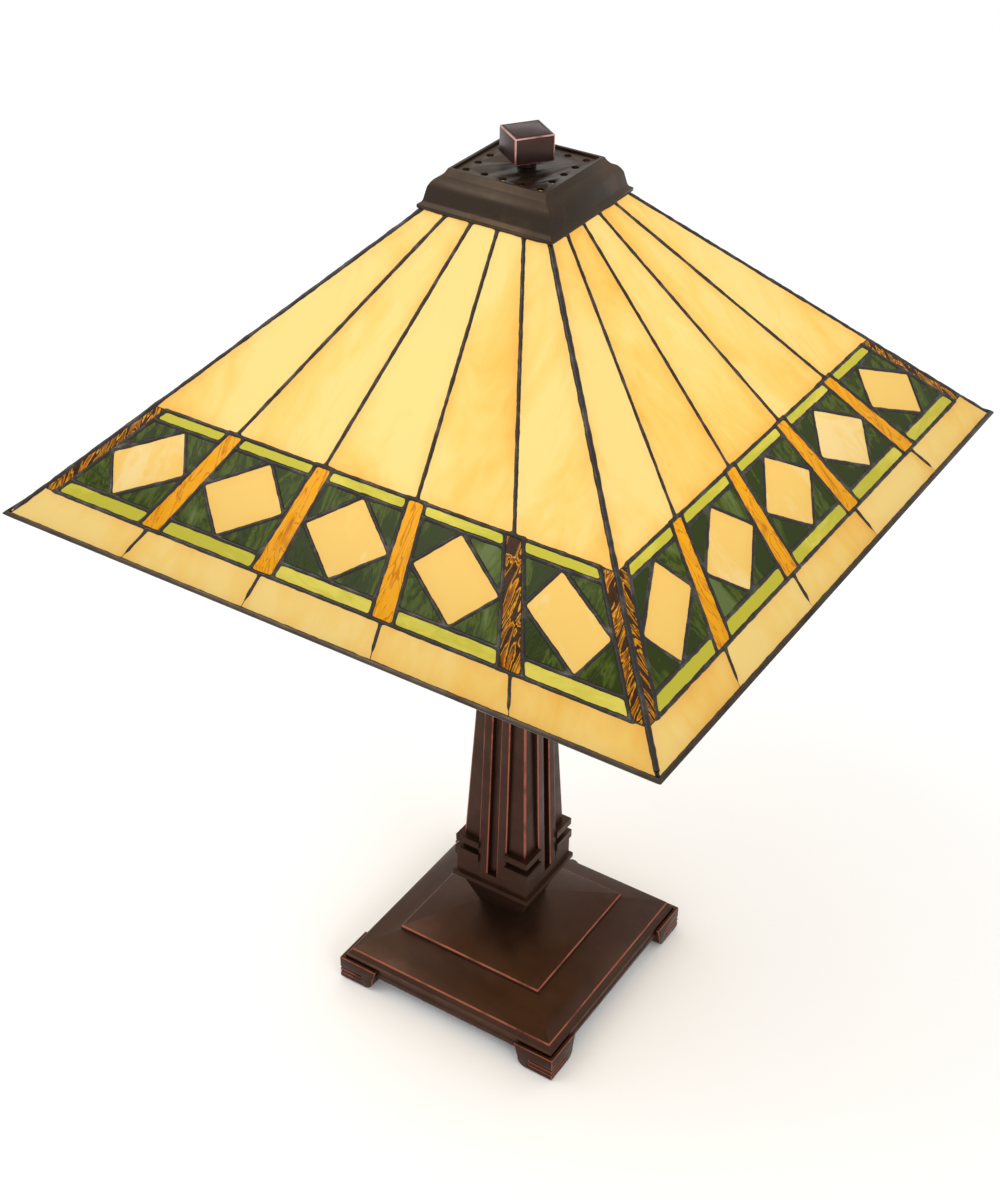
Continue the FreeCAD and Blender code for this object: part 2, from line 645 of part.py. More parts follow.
def contact_tab(side):
    """Centre contact at the bottom of the socket."""
    return rod(SCREW_R / 2, CONTACT_Z, CONTACT_Z + CONTACT_T, side * SOCKET_OFFSET)


def bulb_base(side):
    """Screw base with its tip contact."""
    low = BULB_SEAT_Z - BULB_BASE_H
    profile = [(0, low), (TIP_R, low), (TIP_GLASS_R, low + TIP_H), (SCREW_R - TIP_H, low + 2 * TIP_H),
               (SCREW_R, low + 3 * TIP_H), (SCREW_R, BULB_SEAT_Z), (0, BULB_SEAT_Z)]
    return turned(profile, side * SOCKET_OFFSET)


def bulb_envelope(side):
    """Hollow glass bulb standing on its base."""
    neck = SCREW_R - BULB_NECK_IN
    centre = BULB_TOP_Z - BULB_R

    def skin(wall):
        radius = BULB_R - wall
        join = math.radians(BULB_JOIN)
        rim = V(neck - wall, 0, BULB_SEAT_Z + wall)
        end = V(radius * math.cos(join), 0, centre + radius * math.sin(join))
        bend = V(neck - wall, 0, BULB_SEAT_Z + BULB_H * BULB_NECK_SHARE)
        curve = Part.BSplineCurve()
        curve.interpolate([rim, bend, end])
        side_arc = Part.Arc(end, V(radius, 0, centre), V(0, 0, centre + radius)).toShape()
        bottom = Part.LineSegment(V(0, 0, BULB_SEAT_Z + wall), rim).toShape()
        axis = Part.LineSegment(V(0, 0, centre + radius), V(0, 0, BULB_SEAT_Z + wall)).toShape()
        wire = Part.Wire([bottom, curve.toShape(), side_arc, axis])
        return Part.Face(wire).revolve(V(0, 0, 0), Z_AXIS, 360)

    glass = skin(0.0).cut(skin(BULB_WALL))
    glass.translate(V(side * SOCKET_OFFSET, 0, 0))
    return glass


def pull_chain(side):
    """Ball chain and its bell-shaped pull, hanging from the socket's outlet."""
    x, y = side * SOCKET_OFFSET, side * CHAIN_OUT
    top = CHAIN_Z
    length = CHAIN_BALLS * CHAIN_PITCH
    pieces = [rod(CHAIN_LINK_R, top - length, top, x, y)]
    pieces += [Part.makeSphere(CHAIN_BALL_R, V(x, y, top - CHAIN_PITCH * (k + 0.5)))
               for k in range(CHAIN_BALLS)]
    low = top - length - CHAIN_PULL_H
    pull = [(0, low)] + [(radius, low + height) for radius, height in PULL_OUTLINE]
    pull.append((0, low + CHAIN_PULL_H))
    return pieces[0].fuse(pieces[1:] + [turned(pull, x, y)])


# ---------------------------------------------------------------- column

def shaft_outline(pier, panel, wide, slot, z):
    """Square section with corner piers, and a slotted panel standing proud on each face."""
    half_face = [(-pier, pier), (-wide, pier), (-wide, panel), (-slot, panel),
                 (-slot, panel - SLOT_DEPTH)]
    mirrored = [(-s, out) for s, out in half_face[:0:-1]]
    points = []
    for k in range(4):
        angle = math.radians(90 * k)
        for x, out in half_face + mirrored:
            points.append(V(x * math.cos(angle) + out * math.sin(angle),
                            x * math.sin(angle) - out * math.cos(angle), z))
    return points


def column():
    """Cast column: narrow foot, moulding, plain band, collars on the piers and a panelled shaft."""
    mould_top = MOULD_Z + MOULD_H
    lower = square_solid([(FOOT_HALF, BASE_TOP_Z), (FOOT_SHOULDER, MOULD_Z),
                          (MOULD_HALF, MOULD_Z + MOULD_EASE[0]), (MOULD_HALF, mould_top - MOULD_EASE[1]),
                          (BAND_HALF, mould_top), (BAND_HALF, SHAFT_Z)])
    foot, top = zip((SHAFT_HALF, COLUMN_TOP_HALF), PANEL_HALF, PANEL_WIDE, SLOT_WIDE)
    shaft = lofted([shaft_outline(*foot, SHAFT_Z), shaft_outline(*top, COLUMN_TOP_Z)])
    inner = PANEL_WIDE[0] - CUT_PAST
    collars = []
    for half, z0, z1 in [(BAND_HALF, SHAFT_Z, COLLARS[0][1])] + list(COLLARS):
        collars += around(box(inner, half, inner, half, z0, z1))
    whole = lower.fuse([shaft] + collars)
    bore = rod(PIPE_R + PIPE_CLEAR, BASE_TOP_Z - CUT_PAST, COLUMN_TOP_Z + CUT_PAST)
    core_top = BASE_TOP_Z + (COLUMN_TOP_Z - BASE_TOP_Z) * CORE_SHARE
    core = rod(CORE_R, BASE_TOP_Z + CORE_LAND, core_top)
    return whole.cut(bore.fuse(core))


def column_collar():
    """Square moulded collar that closes the column's top."""
    z = COLUMN_TOP_Z
    collar = square_solid([(PANEL_HALF[1], z), (COLLAR_HALF, z + COLLAR_FLARE),
                           (COLLAR_HALF, z + 2 * COLLAR_FLARE), (COLUMN_TOP_HALF, z + COLLAR_H)])
    return collar.cut(rod(PIPE_R + PIPE_CLEAR, z - CUT_PAST, z + COLLAR_H + CUT_PAST))


# ---------------------------------------------------------------- base

def edge_z():
    return PLATE_BOTTOM + PLATE_EDGE_H


def base_outline():
    slope_half, slope_z = BASE_HALF - PLATE_STEP_IN, edge_z() + PLATE_STEP_H
    middle = ((slope_half + TIER_HALF) / 2, (slope_z + TIER_Z) / 2 + SLOPE_CROWN)
    edge = [(BASE_HALF - step_in, PLATE_BOTTOM + height) for step_in, height in EDGE_MOULD]
    return edge + [(slope_half, slope_z), middle, (TIER_HALF, TIER_Z),
                   (TIER_HALF, TIER_Z + TIER_STEP), (FOOT_HALF, BASE_TOP_Z)]


def cavity_outline():
    inner = BASE_HALF - BASE_WALL
    return [(inner, PLATE_BOTTOM), (inner, edge_z()), (TIER_HALF - BASE_WALL / 2, TIER_Z - BASE_WALL / 2),
            (BOSS_HALF, BASE_TOP_Z - BASE_WALL)]


def bushing_hole(radius, y0, y1):
    return Part.makeCylinder(radius, y1 - y0, V(0, y0, INLET_Z), V(0, 1, 0))


def cover_screw_places():
    return [(x * SCREW_AT, y * SCREW_AT) for x in (-1, 1) for y in (-1, 1)]


def base_casting():
    """Hollow two-tier casting with a pipe boss, four screw bosses and the cord inlet."""
    outside = square_solid(base_outline())
    cavity = square_solid(cavity_outline())
    boss = square_solid([(BOSS_HALF, BALLAST_Z + BALLAST_H), (BOSS_HALF, BASE_TOP_Z)])
    body = outside.cut(cavity)
    for shape in [boss] + [rod(SCREW_BOSS_R, PLATE_BOTTOM + COVER_T, BASE_TOP_Z, x, y)
                           for x, y in cover_screw_places()]:
        body = body.fuse(shape.common(outside))
    rebate = BASE_HALF - BASE_WALL + COVER_EDGE
    body = body.cut(square_solid([(rebate, PLATE_BOTTOM - CUT_PAST), (rebate, PLATE_BOTTOM + COVER_T)]))
    body = body.cut(rod(PIPE_R + PIPE_CLEAR, PLATE_BOTTOM, BASE_TOP_Z + CUT_PAST))
    for x, y in cover_screw_places():
        body = body.cut(rod(SCREW_SHANK_R + SCREW_CLEAR, PLATE_BOTTOM, screw_top() + CUT_PAST, x, y))
    shank = INLET_R + BUSHING_WALL + PIECE_GAP
    body = body.cut(bushing_hole(shank, BASE_HALF - 2 * BASE_WALL, BASE_HALF + CUT_PAST))
    return body.cut(bushing_hole(shank + BUSHING_FLANGE, BASE_HALF - BUSHING_SINK,
                                 BASE_HALF + 2 * CUT_PAST))


def cord_bushing():
    """Flanged bush that lines the cord inlet."""
    shank = INLET_R + BUSHING_WALL
    seat = BASE_HALF - BUSHING_SINK
    body = bushing_hole(shank, BASE_HALF - BASE_WALL - BUSHING_PAST, seat)
    flange = bushing_hole(shank + BUSHING_FLANGE, seat, seat + BUSHING_FLANGE_T)
    return body.fuse(flange).cut(bushing_hole(INLET_R, BASE_HALF - 2 * BASE_WALL,
                                              BASE_HALF + 2 * CUT_PAST))


def base_cover():
    half = BASE_HALF - BASE_WALL + COVER_EDGE - 2 * PIECE_GAP
    cover = square_solid([(half, PLATE_BOTTOM), (half, PLATE_BOTTOM + COVER_T)])
    for x, y in cover_screw_places():
        cover = cover.cut(rod(SCREW_SHANK_R + PIPE_CLEAR, PLATE_BOTTOM - CUT_PAST,
                              PLATE_BOTTOM + COVER_T + CUT_PAST, x, y))
    return cover


def screw_top():
    return edge_z() + SCREW_GRIP


def cover_screw(x, y):
    low = PLATE_BOTTOM - SCREW_HEAD_H
    head = turned([(0, low), (SCREW_HEAD_R * SCREW_EDGE, low), (SCREW_HEAD_R, low + SCREW_HEAD_H / 2),
                   (SCREW_HEAD_R, PLATE_BOTTOM), (0, PLATE_BOTTOM)], x, y)
    screw = head.fuse(rod(SCREW_SHANK_R, low + SCREW_HEAD_H / 2, screw_top(), x, y))
    slot = box(x - SCREW_HEAD_R, x + SCREW_HEAD_R, y - SCREW_SLOT / 2, y + SCREW_SLOT / 2,
               low - CUT_PAST, low + SCREW_HEAD_H / 2)
    return screw.cut(slot)


def ballast_plate():
    top = BALLAST_Z + BALLAST_H
    plate = square_solid([(BALLAST_HALF, BALLAST_Z), (BALLAST_HALF, top)])
    return plate.cut(rod(PIPE_R + PIPE_CLEAR, BALLAST_Z - CUT_PAST, top + CUT_PAST))


# ---------------------------------------------------------------- feet

def foot_leg():
    """One leg of the front right bracket foot, under the front edge."""
    out = BASE_HALF + FOOT_OUT
    start, r = out - FOOT_LEG, FOOT_SCALLOP_R
    high = FOOT_TOP_Z

    def corner(along, z):
        return V(along, -out, z)

    toe = corner(start + FOOT_TOE * r, PAD_T)
    swell = corner(start + FOOT_SWELL[0] * r, PAD_T + FOOT_SWELL[1] * r)
    heel = corner(start + FOOT_HEEL[0] * r, PAD_T + FOOT_HEEL[1] * r)
    back, front = corner(start, high), corner(out, high)
    edges = [Part.LineSegment(corner(out, PAD_T), toe), Part.Arc(toe, swell, heel),
             Part.LineSegment(heel, back), Part.LineSegment(back, front),
             Part.LineSegment(front, corner(out, PAD_T))]
    return Part.Face(Part.Wire([edge.toShape() for edge in edges])).extrude(V(0, FOOT_DEPTH, 0))


def foot():
    """Front right bracket foot: two legs round the plate's corner, with moulded lines."""
    out = BASE_HALF + FOOT_OUT
    leg = foot_leg()
    other = leg.mirror(V(0, 0, 0), V(1, 1, 0).normalize())
    plate = BASE_HALF + PIECE_GAP
    whole = leg.fuse(other).cut(box(0, plate, -plate, 0, PLATE_BOTTOM - PIECE_GAP,
                                    FOOT_TOP_Z + CUT_PAST))
    line, deep, past = out - FOOT_LINE_W, out - FOOT_LINE_DEPTH, out + CUT_PAST
    for z in FOOT_LINE_Z:
        top = z + FOOT_LINE_H
        groove = box(line, past, -past, -deep, z, top).fuse(box(deep, past, -past, -line, z, top))
        whole = whole.cut(groove)
    return whole


def felt_pad():
    """L-shaped felt under the front right foot."""
    out = BASE_HALF + FOOT_OUT - PAD_IN
    start = BASE_HALF + FOOT_OUT - FOOT_LEG + FOOT_TOE * FOOT_SCALLOP_R + PAD_IN
    back = BASE_HALF + FOOT_OUT - FOOT_DEPTH + PAD_IN
    corners = [(start, -out), (out, -out), (out, -start), (back, -start), (back, -back), (start, -back)]
    return polygon_face([V(x, y, 0) for x, y in corners]).extrude(V(0, 0, PAD_T))


# ---------------------------------------------------------------- build

def build_shade():
    field = column_panes(BAND_TOP, SLANT, BAND_LINE / 2, EDGE_COVER)
    skirt = column_panes(0.0, BAND_BOTTOM, EDGE_COVER, BAND_LINE / 2)
    strips, diamonds, triangles = cell_panes()
    bars = bar_panes()
    groups = {"field_glass": field, "skirt_glass": skirt, "amber_bars": bars, "lime_strips": strips,
              "diamond_glass": diamonds, "green_corners": triangles}
    lattice = solder_lattice([pane for panes in groups.values() for pane in panes])
    for face in FACES:
        export("solder_lattice_" + face, [turned_to(lattice, face)])
        for name, panes in groups.items():
            export(name + "_" + face, [turned_to(pane_solid(pane), face) for pane in panes])
    export("hip_solder", around(hip_bead()))
    export("rim_channel", [rim_channel()])
    export("shade_spider", [shade_spider()])
    export("heat_cap", [heat_cap()])
    export("finial", [finial()])
    export("finial_insert", [finial_insert()])


def build_lights():
    export("riser_rod", [riser_rod()])
    export("cluster_body", [cluster_body()])
    export("socket_caps", [socket_cap(side) for _, side in SIDES])
    export("socket_shells", [make(side) for make in (socket_shell, chain_guide) for _, side in SIDES])
    export("socket_insulators", [socket_insulator(side) for _, side in SIDES])
    export("screw_shells", [screw_shell(side) for _, side in SIDES])
    export("contact_tabs", [contact_tab(side) for _, side in SIDES])
    for name, side in SIDES:
        export("bulb_base_" + name, [bulb_base(side)])
        export("bulb_glass_" + name, [bulb_envelope(side)])
        export("pull_chain_" + name, [pull_chain(side)])


def build_stand():
    export("lamp_pipe", [lamp_pipe()])
    export("column", [column()])
    export("column_collar", [column_collar()])
    export("column_nut", [hexagon_nut(COLUMN_TOP_Z + COLLAR_H, NUT_H * THIN_NUT)])
    export("base_casting", [base_casting()])
    export("ballast_plate", [ballast_plate()])
    export("base_washer", [tube(WASHER_R, PIPE_R + PIPE_CLEAR, BALLAST_Z - WASHER_T, BALLAST_Z)])
    export("base_nut", [hexagon_nut(BALLAST_Z - WASHER_T - NUT_H, NUT_H)])
    export("base_cover", [base_cover()])
    export("cover_screws", [cover_screw(x, y) for x, y in cover_screw_places()])
    export("cord_bushing", [cord_bushing()])
    export("base_feet", around(foot()))
    export("felt_pads", around(felt_pad()))


def main():
    os.makedirs("parts", exist_ok=True)
    build_shade()
    build_lights()
    build_stand()


main()
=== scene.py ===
import math
import bmesh
import bpy
import numpy as np
from bpy.props import FloatProperty, FloatVectorProperty, PointerProperty
from mathutils import Matrix, Vector, noise


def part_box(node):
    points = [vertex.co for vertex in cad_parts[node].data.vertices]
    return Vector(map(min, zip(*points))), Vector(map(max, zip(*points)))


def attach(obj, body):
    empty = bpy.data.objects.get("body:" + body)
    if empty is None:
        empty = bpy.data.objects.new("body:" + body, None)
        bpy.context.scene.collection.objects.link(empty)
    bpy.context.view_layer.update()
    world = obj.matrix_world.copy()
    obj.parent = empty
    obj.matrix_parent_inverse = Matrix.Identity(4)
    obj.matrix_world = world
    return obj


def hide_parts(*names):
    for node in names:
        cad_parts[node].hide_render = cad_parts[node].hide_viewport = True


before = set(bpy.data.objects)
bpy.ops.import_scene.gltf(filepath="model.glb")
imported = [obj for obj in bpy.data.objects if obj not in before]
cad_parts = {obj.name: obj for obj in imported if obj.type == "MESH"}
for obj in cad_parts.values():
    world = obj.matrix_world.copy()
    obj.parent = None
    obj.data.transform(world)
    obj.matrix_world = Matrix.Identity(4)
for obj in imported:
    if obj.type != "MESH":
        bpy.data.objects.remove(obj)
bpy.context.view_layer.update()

bl_info = {
    "name": "Leaded Glass Table Lamp",
    "version": (1, 0, 0),
    "blender": (4, 5, 0),
    "location": "3D View > Sidebar > Lamp",
    "description": "Builds the looks of a square leaded glass table lamp round its frame",
    "category": "Object",
}

MM = 0.001
FACES = ("front", "right", "back", "left")
FIELD_KINDS = ("field_glass", "skirt_glass")
BAND_KINDS = ("amber_bars", "lime_strips", "diamond_glass", "green_corners")
GLASS_OF = {"field_glass": "honey_glass", "skirt_glass": "honey_glass", "amber_bars": "amber_glass",
            "lime_strips": "lime_glass", "diamond_glass": "peach_glass", "green_corners": "green_glass"}
SIDES = ("left", "right")
UP = Vector((0, 0, 1))
BEAD_STEP = 4 * MM          # between the points of a bead's path
BEAD_WANDER = 6 * MM        # size of the noise that a bead's width follows
NEAR_HIP = 5 * MM           # panes' beads are thin this close to a hip
RIM_REACH = 1.5 * MM        # and this far above the channel
GLASS_RIM = 9 * MM          # how far in from its edge a pane's tint runs
FINISHES = {}               # every material, by its finish
# which rippled bars of each face are cut from the dark sheet
DARK_BARS = {"front": (0, 4, 5), "right": (0, 5), "back": (0, 2, 5), "left": (0, 3, 5)}


def tint(red, green, blue):
    """A colour given as it looks on a screen, from 0 to 255, in linear light."""
    def linear(value):
        value /= 255
        return value / 12.92 if value <= 0.04045 else ((value + 0.055) / 1.055) ** 2.4
    return linear(red), linear(green), linear(blue), 1.0


def colour(name, description, red, green, blue):
    return FloatVectorProperty(name=name, description=description, subtype="COLOR", size=4,
                               min=0, max=1, default=tint(red, green, blue))


def darker(hue, share):
    return tuple(share * c for c in hue[:3]) + (1,)


def length(name, description, millimetres):
    return FloatProperty(name=name, description=description, subtype="DISTANCE", unit="LENGTH",
                         default=millimetres * MM, min=0.0, precision=5)


def angle(name, description, degrees):
    return FloatProperty(name=name, description=description, subtype="ANGLE", unit="ROTATION",
                         default=math.radians(degrees))


def share(name, description, value, high=1.0):
    return FloatProperty(name=name, description=description, default=value, min=0, max=high)


# ------------------------------------------------------------ settings

class LampGlassSettings(bpy.types.PropertyGroup):
    """Colours and surface of the six kinds of glass."""
    honey: colour("Honey", "Main colour of the large panes", 255, 210, 110)
    cream: colour("Cream", "Pale wisps in the large panes", 255, 220, 132)
    butterscotch: colour("Butterscotch", "Deeper clouds in the large panes", 252, 196, 86)
    rust: colour("Rust", "Warm tint along the solder", 238, 150, 50)
    amber: colour("Amber", "Rippled bars, where they are clear", 246, 168, 4)
    treacle: colour("Treacle", "Rippled bars, between the clear and the dark", 196, 112, 4)
    umber: colour("Umber", "Streaks in the rippled bars", 62, 34, 10)
    lime: colour("Lime", "Strips over and under the diamonds", 200, 190, 56)
    pear: colour("Pear", "Pale wisps in the strips", 232, 214, 88)
    peach: colour("Peach", "Diamonds", 251, 206, 108)
    shell: colour("Shell", "Pale wisps in the diamonds", 253, 220, 146)
    olive: colour("Olive", "Corner triangles", 46, 58, 8)
    moss: colour("Moss", "Streaks in the triangles", 80, 94, 24)
    mist: colour("Mist", "Pale streaks in the triangles", 98, 112, 58)
    frost: colour("Frost", "Bulbs", 255, 236, 200)
    glow: share("Glow", "Light of the bulbs through the shade", 0.86, 4.0)
    hot_spot: share("Hot spot", "Extra light where a bulb is close", 0.06, 2.0)
    spot_height: length("Spot height", "Brightest part of a face, above the table", 487)
    ripple: length("Ripple", "Depth of the waves in the amber bars", 0.7)
    waviness: length("Waviness", "Depth of the waves in the flat sheets", 0.3)


class LampSolderSettings(bpy.types.PropertyGroup):
    """Solder lines, hip beads and the channel round the shade's lower edge."""
    field_width: length("Field line", "Width of the beads between the large panes", 2.5)
    band_width: length("Band line", "Width of the beads in the patterned band", 2.9)
    bead_height: length("Bead height", "Bead above the glass", 0.95)
    unevenness: share("Unevenness", "How much a bead's width wanders", 0.11)
    blob: share("Blob", "How much a bead swells where lines meet", 0.24)
    grain: length("Grain", "Size of the cells that a face's beads are melted together with", 0.8)
    hip_radius: length("Hip bead", "Radius of the beads over the hips", 1.75)
    hip_sink: length("Hip sink", "Middle of a hip bead below the hip", 1.15)
    hip_share: share("Beside the hips", "Width of a pane's bead beside a hip or the rim, as a share",
                     0.55)
    rim_bead: length("Rim bead", "Radius of the solder along the channel's upper edge", 1.25)
    skin: colour("Skin", "Black patina", 50, 46, 42)
    dull: colour("Dull", "Worn grey in the patina", 92, 86, 80)
    came: colour("Came", "Channel round the lower edge", 74, 64, 55)
    came_dark: colour("Came dark", "Stains on the channel", 42, 35, 30)


class LampMetalSettings(bpy.types.PropertyGroup):
    """Bronze, brass, steel and the plain materials."""
    mahogany: colour("Mahogany", "Dark patina of the castings", 58, 36, 27)
    umber: colour("Umber", "Brown clouds in the patina", 78, 53, 39)
    # Painted sheen: faces that look up are mixed towards this khaki, as if lit from above.
    sheen_khaki: colour("Khaki", "Dusty bloom on faces that look up", 92, 74, 54)
    copper: colour("Copper", "Rubbed edges", 152, 86, 66)
    cap: colour("Cap", "Heat cap's patina", 52, 43, 34)
    cap_gold: colour("Cap gold", "Golden clouds in the cap's patina", 96, 70, 46)
    plum: colour("Plum", "Finial", 62, 46, 42)
    brass: colour("Brass", "Rod, pipe, nuts and spider", 176, 140, 78)
    old_brass: colour("Old brass", "Sockets and chains", 132, 104, 60)
    nickel: colour("Nickel", "Bulb bases", 190, 188, 184)
    steel: colour("Steel", "Screws and washer", 160, 160, 158)
    iron: colour("Iron", "Ballast plate", 96, 92, 88)
    felt: colour("Felt", "Pads under the feet", 58, 74, 48)
    edge_width: length("Edge width", "Width of the rubbed edges", 1.0)


class LampStudioSettings(bpy.types.PropertyGroup):
    """Camera, floor and lights."""
    azimuth: angle("Azimuth", "Camera round the lamp, from the front towards the right", 32.50)
    elevation: angle("Elevation", "Camera above the level", 35.04)
    roll: angle("Roll", "Camera turned about its own axis", 0.713)
    distance: length("Distance", "Camera to the point that it turns round", 1164.8)
    aim_height: length("Aim height", "Height of that point", 294.18)
    aim_side: FloatProperty(name="Aim side", description="That point to the right of the middle",
                            subtype="DISTANCE", unit="LENGTH", default=-0.01099)
    lens: FloatProperty(name="Lens", description="Focal length in millimetres", default=58.30,
                        min=10, max=200)
    floor: colour("Floor", "Floor", 253, 253, 253)
    sky: colour("Sky", "Light from all round", 255, 255, 255)
    sky_power: share("Sky power", "Strength of the light from all round", 1.0, 5.0)
    key_power: FloatProperty(name="Key", description="Large soft light above", default=10.0, min=0)
    rim_power: FloatProperty(name="Side", description="Soft light on the left", default=6.0, min=0)
    bulb_power: FloatProperty(name="Bulb", description="Each bulb", default=0.25, min=0)


# ------------------------------------------------------------ hand tools

def deselect():
    if bpy.context.object and bpy.context.object.mode != "OBJECT":
        bpy.ops.object.mode_set(mode="OBJECT")
    bpy.ops.object.select_all(action="DESELECT")


def only(piece):
    """Deselect everything and make this piece the selected, active one."""
    deselect()
    piece.select_set(True)
    bpy.context.view_layer.objects.active = piece
    return piece


def edit(piece):
    only(piece)
    bpy.ops.object.mode_set(mode="EDIT")
    bpy.ops.mesh.select_mode(type="EDGE")
    return bmesh.from_edit_mesh(piece.data)


def done(piece):
    bmesh.update_edit_mesh(piece.data)
    bpy.ops.object.mode_set(mode="OBJECT")
    return piece


def choose(piece, kind, test):
    """Select only the vertices, edges or faces that pass a test. The piece is in edit mode."""
    bpy.ops.mesh.select_all(action="DESELECT")
    bpy.ops.mesh.select_mode(type=kind)
    mesh = bmesh.from_edit_mesh(piece.data)
    found = {"VERT": mesh.verts, "EDGE": mesh.edges, "FACE": mesh.faces}[kind]
    count = 0
    for item in found:
        if test(item):
            item.select_set(True)
            count += 1
    bmesh.update_edit_mesh(piece.data)
    return count


def start(name):
    """Name the primitive that was just added and settle its place into its mesh."""
    piece = bpy.context.object
    piece.name = piece.data.name = name
    bpy.ops.object.transform_apply(location=True, rotation=True, scale=True)
    return piece


def cad_copy(node, name):
    """The frame's node as a piece of its own: its triangles joined and its flat faces whole."""
    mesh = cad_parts[node].data.copy()
    piece = bpy.data.objects.new(name, mesh)
    bpy.context.scene.collection.objects.link(piece)
    mesh.name = name
    mesh.materials.clear()
    only(piece)
    bpy.ops.mesh.customdata_custom_splitnormals_clear()
    edit(piece)
    bpy.ops.mesh.select_all(action="SELECT")
    bpy.ops.mesh.remove_doubles(threshold=0.002 * MM)
    bpy.ops.mesh.dissolve_limited(angle_limit=math.radians(0.4), delimit=set())
    return done(piece)


def middle(edge):
    return (edge.verts[0].co + edge.verts[1].co) / 2


def convex(edge, least):
    return len(edge.link_faces) == 2 and edge.calc_face_angle_signed(0) > math.radians(least)


def ease(piece, width, segments=2, where=None, least=24, slot=-1):
    """Round the outer edges over, and give the new strips their own material slot."""
    edit(piece)
    if choose(piece, "EDGE", lambda e: convex(e, least) and (where is None or where(e))):
        bpy.ops.mesh.bevel(offset_type="OFFSET", offset=width, segments=segments, affect="EDGES",
                           clamp_overlap=True, material=slot)
    return done(piece)


def smooth(piece, degrees=35):
    only(piece)
    bpy.ops.object.shade_smooth_by_angle(angle=math.radians(degrees))
    return piece


def apply_modifier(piece, kind, **settings):
    only(piece)
    modifier = piece.modifiers.new(kind.title(), kind)
    for key, value in settings.items():
        setattr(modifier, key, value)
    bpy.ops.object.modifier_apply(modifier=modifier.name)
    return piece


def roughen(piece, depth, size):
    """Push the surface in and out by soft clouds."""
    clouds = bpy.data.textures.new(piece.name + "_clouds", "CLOUDS")
    clouds.noise_scale = size
    clouds.noise_depth = 2
    apply_modifier(piece, "DISPLACE", texture=clouds, texture_coords="LOCAL", strength=depth,
                   mid_level=0.5)
    bpy.data.textures.remove(clouds)
    return piece


def coat(piece, *slots):
    """Give a piece its materials in order, before its edges are eased into a second one."""
    for slot in slots:
        piece.data.materials.append(FINISHES[slot])


def finish(piece, body, replaced=()):
    """Give a piece its body, and hide the frame's nodes that it stands for."""
    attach(piece, body)
    if replaced:
        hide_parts(*replaced)
    return piece


def carry(nodes, material):
    """Give nodes of the frame that keep their shape a finish."""
    for name in nodes:
        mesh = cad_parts[name].data
        mesh.materials.clear()
        mesh.materials.append(material)


# ------------------------------------------------------------ shader groups

class Wiring:
    """Adds nodes to one node tree; an input is a value or another node's output."""

    def __init__(self, tree):
        self.tree = tree

    def add(self, kind, inputs=None, **settings):
        node = self.tree.nodes.new("ShaderNode" + kind)
        for key, value in settings.items():
            setattr(node, key, value)
        for key, value in (inputs or {}).items():
            self.plug(node.inputs[key], value)
        return node

    def plug(self, socket, value):
        if isinstance(value, bpy.types.NodeSocket):
            self.tree.links.new(value, socket)
        else:
            socket.default_value = value

    def math(self, operation, a, b=0.0, clamp=False):
        node = self.add("Math", {0: a, 1: b}, operation=operation, use_clamp=clamp)
        return node.outputs[0]

    def mix(self, factor, a, b, blend="MIX"):
        node = self.add("Mix", {0: factor, 6: a, 7: b}, data_type="RGBA", blend_type=blend)
        return node.outputs[2]

    def ramp(self, factor, stops):
        node = self.add("ValToRGB", {0: factor})
        elements = node.color_ramp.elements
        elements.remove(elements[1])
        elements[0].position = 0.0
        elements[0].color = stops[0][1]
        for place, value in stops[1:]:
            elements.new(place).color = value
        return node.outputs[0]

    def range(self, value, low, high, to_low=0.0, to_high=1.0):
        node = self.add("MapRange", {0: value, 1: low, 2: high, 3: to_low, 4: to_high})
        return node.outputs[0]

    def place(self):
        return self.add("TexCoord").outputs["Object"]

    def attribute(self, name, output="Fac"):
        return self.add("Attribute", attribute_name=name).outputs[output]


def group(name, inputs, outputs):
    """A shader node group with named sockets: returns it, its wiring, its inputs and outputs."""
    tree = bpy.data.node_groups.new(name, "ShaderNodeTree")
    for socket, kind, value in inputs:
        made = tree.interface.new_socket(socket, in_out="INPUT", socket_type="NodeSocket" + kind)
        if value is not None:
            made.default_value = value
    for socket, kind in outputs:
        tree.interface.new_socket(socket, in_out="OUTPUT", socket_type="NodeSocket" + kind)
    wires = Wiring(tree)
    return (wires, wires.tree.nodes.new("NodeGroupInput").outputs,
            wires.tree.nodes.new("NodeGroupOutput").inputs)


def clouds_group():
    """Soft uneven patches, from 0 to 1."""
    wires, given, made = group("Clouds", [("Scale", "Float", 20.0), ("Low", "Float", 0.35),
                                          ("High", "Float", 0.65), ("Seed", "Float", 0.0)],
                               [("Mask", "Float")])
    place = wires.add("VectorMath", {0: wires.place(), 1: given["Seed"]}, operation="ADD")
    cloud = wires.add("TexNoise", {"Vector": place.outputs[0], "Scale": given["Scale"],
                                   "Detail": 5.0, "Roughness": 0.6})
    wires.plug(made["Mask"], wires.range(cloud.outputs["Fac"], given["Low"], given["High"]))


def grain_group():
    """Fine pits and scratches: a height for a bump, and a roughness change."""
    wires, given, made = group("Cast grain", [("Scale", "Float", 400.0)],
                               [("Height", "Float"), ("Mask", "Float")])
    fine = wires.add("TexNoise", {"Vector": wires.place(), "Scale": given["Scale"], "Detail": 3.0})
    broad = wires.add("TexNoise", {"Vector": wires.place(), "Scale": wires.math(
        "MULTIPLY", given["Scale"], 0.12), "Detail": 4.0})
    height = wires.math("ADD", fine.outputs["Fac"], wires.math("MULTIPLY", broad.outputs["Fac"], 2.0))
    wires.plug(made["Height"], height)
    wires.plug(made["Mask"], wires.range(broad.outputs["Fac"], 0.35, 0.65))


